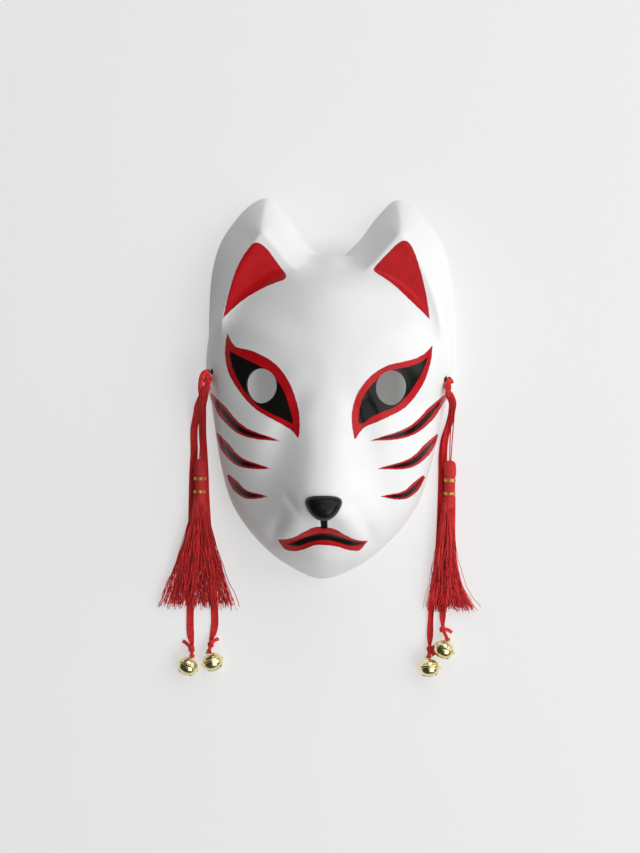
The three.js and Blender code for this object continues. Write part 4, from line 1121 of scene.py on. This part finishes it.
def skirt_strands(top, reach, powers, rest, strays, count=430, rings=30):
    """Strands from the neck to their cut ends: place = envelope * (angle, depth) + waves + crimp, as arrays."""
    share = np.linspace(0, 1, rings)[None, :]
    angle = random.uniform(0, 2 * np.pi, (count, 1))
    depth = random.uniform(0.05, 1, (count, 1)) ** 0.5
    far = np.clip(random.normal(1, 0.022, (count, 1)), 0.93, 1.045)
    at = THREAD_START + (far - THREAD_START) * share
    swirl = angle + random.normal(0, 0.4, (count, 1)) * share
    half, tall, middle = skirt_shape(at, np.cos(swirl) > 0, reach, powers)
    along = at * TASSEL_LENGTH
    x = half * depth * np.cos(swirl)
    z = middle + tall * depth * np.sin(swirl)
    loose = share**1.5
    for length, size in THREAD_WAVES:
        for_x, for_z = random.uniform(0, 2 * np.pi, (2, count, 1))
        gain = random.uniform(0.3, 1.2, (count, 1)) * loose * size
        x = x + gain * np.sin(2 * np.pi * along / length + for_x)
        z = z + 0.6 * gain * np.sin(2 * np.pi * along / length + for_z)
    chance = np.where(np.cos(angle) > 0, strays[1], strays[0])
    stray = (random.uniform(0, 1, (count, 1)) < chance) * random.uniform(2, 7, (count, 1))
    x = x + np.sign(np.cos(angle)) * stray * share**2
    z = np.clip(z, rest, 2 * HEAD - 2)
    droop = (z - rest) * 0.25 * share**3
    paths = np.stack([top[0] + x, np.broadcast_to(top[1] - along, x.shape), z - droop], axis=-1)
    thick = random.uniform(*THREAD_RADII, (count, 1, 1, 1))
    taper = (1 - 0.25 * share)[..., None, None]
    outline = thick * taper * round_outline(1, 3)
    points, faces, uvs = swept(paths, np.broadcast_to(outline, (count, rings, 3, 2)))
    shade = np.clip(random.normal(0.5, 0.3, (count, 1)) + 0.1 * share, 0, 1)
    tone = np.concatenate([np.repeat(shade.ravel(), 3), shade[:, 0], shade[:, -1]])
    return points, faces, uvs, tone


def tassel_head(top):
    """The folded threads from the top down to the lower binding, ridged, with a red whipping under the top."""
    profile = [(0, 0), (1.6, -0.15), (2.8, -0.9), (3.7, -2.4), (4.1, -4.6), (4.2, -7.5), (4.1, -10), (3.7, -11.8),
               (3.6, -14), (3.65, -18), (3.6, -23), (3.75, -26.5), (4.0, -29.5), (3.3, -35), (0, -37)]
    profile = smooth_path(profile, 60)
    profile[0, 0] = profile[-1, 0] = 0
    points, faces = turned(profile[::-1], 144, HEAD_RIDGES, 0.028)
    return points + [top[0], top[1], HEAD], faces


def add_tassel(side):
    """The head and the skirt as one piece."""
    place = TASSELS[side]
    strand_points, strand_faces, strand_uvs, strand_tone = skirt_strands(**place)
    head_points, head_faces = tassel_head(place["top"])
    points, faces = joined((head_points, head_faces), (strand_points, strand_faces))
    uvs = np.concatenate([np.zeros((sum(f.size for f in head_faces), 2)), strand_uvs])
    turn = np.arctan2(head_points[:, 2] - HEAD, head_points[:, 0] - place["top"][0])
    tone = np.concatenate([0.42 + 0.12 * np.sin(HEAD_RIDGES * turn), strand_tone])
    piece = make_piece("silk_tassel_" + side, points, faces, silk, uvs, tone=tone)
    stand_for("tassel_" + side)
    return len(piece.data.polygons)


def winding(inner, outer, width, turns, sides=72):
    """A band of thread wound side by side: a closed profile with a half circle for each turn, turned about +Y."""
    turn = np.linspace(0, np.pi * turns, 10 * turns + 1)
    bulge = outer - (outer - inner) * 0.55 * (1 - np.abs(np.sin(turn)))
    y = np.linspace(width / 2, -width / 2, len(turn))
    ring = np.concatenate([np.stack([bulge, y], -1), [[inner, -width / 2], [inner, width / 2]]])
    around = 2 * np.pi * np.arange(sides) / sides
    rings = np.stack([ring[:, :1] * np.cos(around), np.broadcast_to(ring[:, 1:], (len(ring), sides)),
                      -ring[:, :1] * np.sin(around)], axis=-1)
    index = np.arange(len(ring) * sides).reshape(-1, sides)
    return rings.reshape(-1, 3), [ring_quads(index, np.roll(index, -1, axis=0), back=True)]


def add_bindings(side):
    """Two gold windings on the neck."""
    top = TASSELS[side]["top"]
    for which, at, width, turns in (("upper", 14, 2.4, 5), ("lower", 23.4, 2.1, 4)):
        points, faces = winding(WINDING_INNER, WINDING_OUTER, width, turns)
        piece = make_piece(f"gold_winding_{which}_{side}", points + [top[0], top[1] - at, HEAD], faces, gold)
        stand_for(f"tassel_binding_{which}_{side}")


for side in TASSELS:
    print("tassel", side, "faces:", add_tassel(side))
    add_bindings(side)

# %% [markdown]
# ## Knots
# Each knot is the ribbon or cord itself pulled tight: a strand that passes twice round and through. Tying one by
# simulation is slow and seldom ends well, so here it is a trefoil, the simplest closed knot, with a flattened section,
# fitted to the room that the solid model keeps for it. A folded strand lies over each red one.

# %% Knots


def knot_grid(node, tube, flat=1.0, turn=0.0, rings=150, sides=12):
    """A trefoil, (sin t + 2 sin 2t, cos t - 2 cos 2t, -sin 3t), scaled into a node's box."""
    low, high = box_of(node)
    t = np.linspace(0, 2 * np.pi, rings, endpoint=False)
    curve = np.stack([np.sin(t) + 2 * np.sin(2 * t), np.cos(t) - 2 * np.cos(2 * t), -np.sin(3 * t)], -1)
    c, s = math.cos(turn), math.sin(turn)
    curve = curve @ np.array([[c, -s, 0], [s, c, 0], [0, 0, 1.0]]).T
    middle, half = (low + high) / 2, (high - low) / 2 - tube
    span = np.abs(curve).max(axis=0)
    curve = middle + curve / span * half
    along = unit(np.roll(curve, -1, axis=0) - np.roll(curve, 1, axis=0))
    side = unit(np.cross(along, curve - middle))
    out = np.cross(side, along)
    angle = 2 * np.pi * np.arange(sides) / sides
    grid = (curve[:, None] + tube * np.cos(angle)[None, :, None] * side[:, None] * flat
            + tube * np.sin(angle)[None, :, None] * out[:, None])
    index = np.arange(rings * sides).reshape(rings, sides)
    quads = ring_quads(index, np.roll(index, -1, axis=0), back=True)
    u = np.arange(sides + 1) / sides * 2 * np.pi * tube
    v = np.arange(rings + 1) * path_length(np.vstack([curve, curve[:1]])) / rings
    corners = ((0, 0), (0, 1), (1, 1), (1, 0))
    uvs = np.stack([np.broadcast_to(line, (rings, sides)) for across, on in corners
                    for line in (u[across:across + sides], v[on:on + rings, None])], axis=-1)
    return grid.reshape(-1, 3), quads, uvs.reshape(-1, 2)


def flat_strand(route, width, thick):
    """A folded ribbon's strand along a route: a flat oval section, as points, faces and UVs."""
    turn = -2 * np.pi * np.arange(12) / 12
    outline = np.stack([width / 2 * np.cos(turn), thick / 2 * np.sin(turn)], axis=-1)
    return swept(smooth_path(route, 60), outline)


def add_knot(name, node, made, tube, flat=1.0, turn=0.0, strands=()):
    """One knot that stands for a node, with the strands that come out of it."""
    points, quads, uvs = knot_grid(node, tube, flat, turn)
    points, faces = joined((points, [quads]), *(strand[:2] for strand in strands))
    uvs = np.concatenate([uvs, *(strand[2] for strand in strands)])
    piece = make_piece(name, points, faces, made, uvs)
    stand_for(node)
    return piece


def middle_of(node):
    """The middle of a solid's box."""
    return np.mean(box_of(node), axis=0)


LOOPS = {
    "left": [(-88.6, -6, 22.8), (-89, -2, 25.2), (-88.6, 4, 26.8), (-87.2, 8.8, 26.8), (-85.2, 10.2, 25.8),
             (-84, 7.6, 25.4), (-84.4, 3, 26), (-85.2, -1, 26)],
    "right": [(86.8, 4.6, 24.6), (86.2, 6.4, 25.2), (84.9, 6.2, 25.4), (84.3, 3, 26), (84.8, -1, 26.4),
              (85.9, -4, 25.4)],
}
for side, loop in LOOPS.items():
    loops = [flat_strand(loop, 3.8, 1.0)]
    red = add_knot("red_knot_" + side, "tie_knot_" + side, ribbon, 1.7, turn=0.4, strands=loops)
    black = add_knot("elastic_knot_" + side, "strap_knot_" + side, elastic, 1.15, turn=1.2)
    print("knots on the", side, "with", len(red.data.polygons), "and", len(black.data.polygons), "faces")

# %% [markdown]
# ## Bells
# A jingle bell is two pressed brass cups crimped together at the waist, with a slot that ends in two holes and a wire
# ring soldered on top. The cup is a turned closed profile; its hollow, the slot and the slot's two holes are cut out of
# it, which leaves the real wall to be seen in the slot. A sphere with a dark line painted on would do from afar only.

# %% Brass


def brass_material():
    """Bright yellow brass with darker tarnish in clouds and fine turning marks."""
    made, tree, shader = material("bell_brass", (0.86, 0.76, 0.36), 0.17, Metallic=1.0)
    cloud = ranged(tree, noise(tree, 130, 4), 0.35, 0.7)
    tree.links.new(mixed(tree, cloud, (0.96, 0.89, 0.52, 1), (0.78, 0.68, 0.32, 1)), shader.inputs["Base Color"])
    tree.links.new(ranged(tree, noise(tree, 400, 3), 0.3, 0.7, 0.18, 0.3), shader.inputs["Roughness"])
    bumped(tree, shader, noise(tree, 700, 3), 0.00004, 0.4)
    return made


brass = brass_material()
print("bell material:", brass.name)

# %% Bells
BELL_RADIUS, BELL_HALF, FLANGE, FLANGE_THICK, BELL_WALL = 7.3, 6.2, 1.2, 1.9, 0.7
SLOT_REACH, SLOT_HALF, SLOT_HOLE, BELL_NOD = 3.9, 0.8, 1.7, 18
RING_RADIUS, WIRE_RADIUS, SOLDERED = 1.8, 0.6, 0.3
BELT_EDGE_HALF, BELL_GAP, BELL_SHARP = 0.5, 0.1, 35
BELLS = {
    "left_outer": (-97, -199.5, -23),
    "left_inner": (-79.2, -196, 23),
    "right_outer": (85.2, -184.2, -22),
    "right_inner": (75, -197.4, 4),
}


def cup_curve(a):
    """Radius r |sin a|^0.8 and height -h cos a, its size to the power 0.9, for angles from the bottom to the top."""
    return np.stack([BELL_RADIUS * np.abs(np.sin(a)) ** 0.8,
                     -BELL_HALF * np.sign(np.cos(a)) * np.abs(np.cos(a)) ** 0.9], -1)


def bell_profile():
    """The outside from the bottom to the top, with the crimped belt and the two fine ridges beside its seam."""
    low = cup_curve(np.linspace(0, 1, 15) * np.pi / 2 * 0.91)
    bend = np.linspace(-1, 1, 13) * np.pi / 2
    belt = np.stack([BELL_RADIUS + FLANGE * np.cos(bend) ** 0.8, FLANGE_THICK / 2 * np.sin(bend)], -1)
    belt[[5, 7], 0] += 0.06
    high = low[::-1] * [1, -1]
    return np.concatenate([low, belt, high])


def bell_mesh():
    """The cups as one mesh, with the hollow, the slot and the slot's two holes cut out."""
    shrink = np.array([(BELL_RADIUS - BELL_WALL) / BELL_RADIUS, (BELL_HALF - BELL_WALL) / BELL_HALF])
    inside = cup_curve(np.linspace(0, np.pi, 33)) * shrink
    inside[0, 0] = inside[-1, 0] = 0
    bottom, inner = -1.5 * BELL_HALF, -0.5 * BELL_HALF
    corners = np.array([(x, y, z) for x in (-SLOT_REACH, SLOT_REACH) for y in (bottom, inner)
                        for z in (-SLOT_HALF, SLOT_HALF)])
    box_faces = [[0, 1, 3, 2], [4, 6, 7, 5], [0, 4, 5, 1], [2, 3, 7, 6], [0, 2, 6, 4], [1, 5, 7, 3]]
    tools = [turned(inside, 64), (corners, [np.array(box_faces)])]
    for x in (-SLOT_REACH, SLOT_REACH):
        ends = np.array([(x, bottom, 0), (x, inner, 0)])
        tools.append(swept(ends, round_outline(SLOT_HOLE, 32), across=[1.0, 0, 0])[:2])
    body = make_piece("bell_body", *turned(bell_profile(), 96), brass)
    mesh = cut_out(body, [make_piece(f"bell_tool_{number}", *tool, brass) for number, tool in enumerate(tools)])
    bpy.data.objects.remove(body)
    return mesh


def bell_ring():
    """The wire ring above the cup, closed."""
    turn = np.linspace(0, 2 * np.pi, 49)
    middle = BELL_HALF + RING_RADIUS - SOLDERED
    path = np.stack([RING_RADIUS * np.cos(turn), middle + RING_RADIUS * np.sin(turn), 0 * turn], -1)
    return swept(path, round_outline(WIRE_RADIUS, 14), across=[0, 0, 1.0])[:2]


bell_body = bell_mesh()
print("bell:", len(bell_body.vertices), "points")


def bell_middle():
    """Height of a bell's middle: its belt rests on the table when it nods."""
    nod = math.radians(BELL_NOD)
    return (BELL_RADIUS + FLANGE) * math.cos(nod) + BELT_EDGE_HALF * math.sin(nod) + BELL_GAP


def bell_place(name):
    """Turned about +Z and nodded, at its place on the table."""
    x, y, turn = BELLS[name]
    place = Matrix.Translation((x * MM, y * MM, bell_middle() * MM))
    return place @ Matrix.Rotation(math.radians(turn), 4, "Z") @ Matrix.Rotation(math.radians(-BELL_NOD), 4, "X")


def add_bell(name):
    """A copy of the bell with its ring and place in its mesh."""
    place = bell_place(name)
    mesh = bell_body.copy()
    mesh.transform(place)
    body = bpy.data.objects.new("brass_bell_" + name, mesh)
    bpy.context.collection.objects.link(body)
    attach(body, "root")
    ring = make_piece("bell_ring_" + name, *bell_ring(), brass)
    ring.data.transform(place)
    join_into(body, ring)
    body.data.set_sharp_from_angle(angle=math.radians(BELL_SHARP))
    stand_for("bell_" + name)
    return body


bells = {name: add_bell(name) for name in BELLS}
print("bells' middles", round(bell_middle(), 2), "mm over the table")

# %% [markdown]
# ## Knots over the bells
# Each ribbon ends in a small hard knot just above its bell, with a folded strand that goes down through the bell's ring
# and back, and a short cut tail that sticks out. Drawing the whole ribbon through the knot would be truer but can't be
# seen, so the knot is a trefoil again, and the two strands start inside it.

# %% Knots over the bells
TAILS = {
    "left_outer": (-101.2, -182, 2.4), "left_inner": (-75.6, -180, 2.4), "right_outer": (91, -172.5, 2.6),
    "right_inner": (79.2, -187.6, 9.6),
}
TAIL_WIDTHS = {"left_outer": 2.6, "left_inner": 2.6, "right_outer": 2.6, "right_inner": 5.2}


def bell_loop(name, knot):
    """A folded strand from the knot through the bell's ring and back, which the bell hangs by."""
    hole = np.array(bell_place(name) @ Vector((0, (BELL_HALF + 1.5) * MM, 0))) / MM
    out = unit(knot - hole)
    lift = np.array([0, 0, 1.0])
    return flat_strand([knot + lift, hole + 1.6 * out + 1.3 * lift, hole - 0.1 * out + 0.9 * lift, hole - 0.5 * out,
                        hole - 0.1 * out - 0.9 * lift, hole + 1.6 * out - 1.0 * lift, knot - lift], 2.4, 0.8)


for name in ribbons:
    middle = middle_of("ribbon_knot_" + name)
    tail = np.array(TAILS[name])
    half_way = (middle + tail) / 2 + [0, 0.8, 0.8]
    strands = [bell_loop(name, middle), flat_strand([middle, half_way, tail], TAIL_WIDTHS[name], 0.6)]
    add_knot("end_knot_" + name, "ribbon_knot_" + name, ribbon, 1.3, 1.1, 0.8, strands)

# %% [markdown]
# A ribbon is a free cord with a bell on its end. Its length is printed only now that its knot and its bell are made.

for name, (piece, path) in ribbons.items():
    length = RIBBONS[name]["length"]
    print("ribbon", name, "of", length, "mm")

# %% [markdown]
# ## Table and light
# A pale seamless table under three large soft lights, from the right, the lower right and the top, and a weaker one
# near the camera, which reaches the table through the peepholes. A picture of a studio could light the scene instead,
# but four squares are easier to move until the shadows under the brows and the ears match. The table glows a little so
# that it stays pale, and much less in an oval under the mask: a painted shade there, which the peepholes show.

# %% Table
TABLE_HALF = 15000
# The first value is the table's glow in an oval under the mask, kept low as a painted shade; the second is its glow
# elsewhere.
GLOW_IN_PAINTED_SHADE, GLOW_EDGE = 0.14, 0.54


def add_table():
    """A wide square under everything, with a soft glow of its own so that it stays pale, weaker under the mask as a
    painted shade.
    """
    corners = TABLE_HALF * np.array([(-1, -1, 0), (1, -1, 0), (1, 1, 0), (-1, 1, 0)])
    made, tree, shader = material("table", (0.42, 0.42, 0.42), 0.8)
    shader.inputs["Emission Color"].default_value = (0.9, 0.9, 0.9, 1)
    place = shader_node(tree, "TexCoord").outputs["Object"]
    scaled = shader_node(tree, "VectorMath", {0: place, 1: (1 / 0.07, 1 / 0.1, 0)}, operation="MULTIPLY")
    outwards = shader_node(tree, "VectorMath", {0: scaled.outputs[0]}, operation="LENGTH").outputs["Value"]
    # The glow falls to its lowest in an oval 70 by 100 mm under the mask: a painted shade on the table there.
    glow_with_painted_shade = ranged(tree, outwards, 0.7, 1.1, GLOW_IN_PAINTED_SHADE, GLOW_EDGE)
    tree.links.new(glow_with_painted_shade, shader.inputs["Emission Strength"])
    bumped(tree, shader, noise(tree, 300, 3), 0.0001, 0.2)
    mesh = bpy.data.meshes.new("table")
    mesh.from_pydata((corners * MM).tolist(), [], [(0, 1, 2, 3)])
    mesh.materials.append(made)
    table = bpy.data.objects.new("table", mesh)
    bpy.context.collection.objects.link(table)
    return table


print("table:", add_table().name)

# %% Light
ON_FACE = (0, 0, 0.03)
LIGHTS = {
    "key": ((2.1, 0.52, 1.44), ON_FACE, 1.8, 26),
    "lower right": ((1.2, -1.2, 1.8), ON_FACE, 1.6, 24),
    "top": ((0.7, 2.1, 1.6), ON_FACE, 1.6, 20),
    "front": ((0.35, 0.2, 1.6), (0, -0.02, 0), 0.9, 4.2),
}
ROOM_LIGHT = 0.04


def add_area(name, place, look_at, size, power):
    """A square soft light at a place in metres, turned to a point."""
    data = bpy.data.lights.new(name, "AREA")
    data.size, data.energy = size, power
    light = bpy.data.objects.new(name, data)
    bpy.context.collection.objects.link(light)
    direction = unit(np.array(place) - np.array(look_at))
    side = unit(np.cross([0, 1.0, 0.01], direction))
    aim = Matrix(np.column_stack([side, np.cross(direction, side), direction]).tolist())
    light.matrix_world = Matrix.Translation(place) @ aim.to_4x4()
    return light


lights = [add_area(name, *values) for name, values in LIGHTS.items()]
world = bpy.data.worlds.new("room")
bpy.context.scene.world = world
world.use_nodes = True
background = world.node_tree.nodes["Background"]
background.inputs["Color"].default_value = (1, 1, 1, 1)
background.inputs["Strength"].default_value = ROOM_LIGHT
bpy.context.scene.view_settings.view_transform = "Standard"
print("lights:", {light.name: round(light.data.energy, 1) for light in lights})
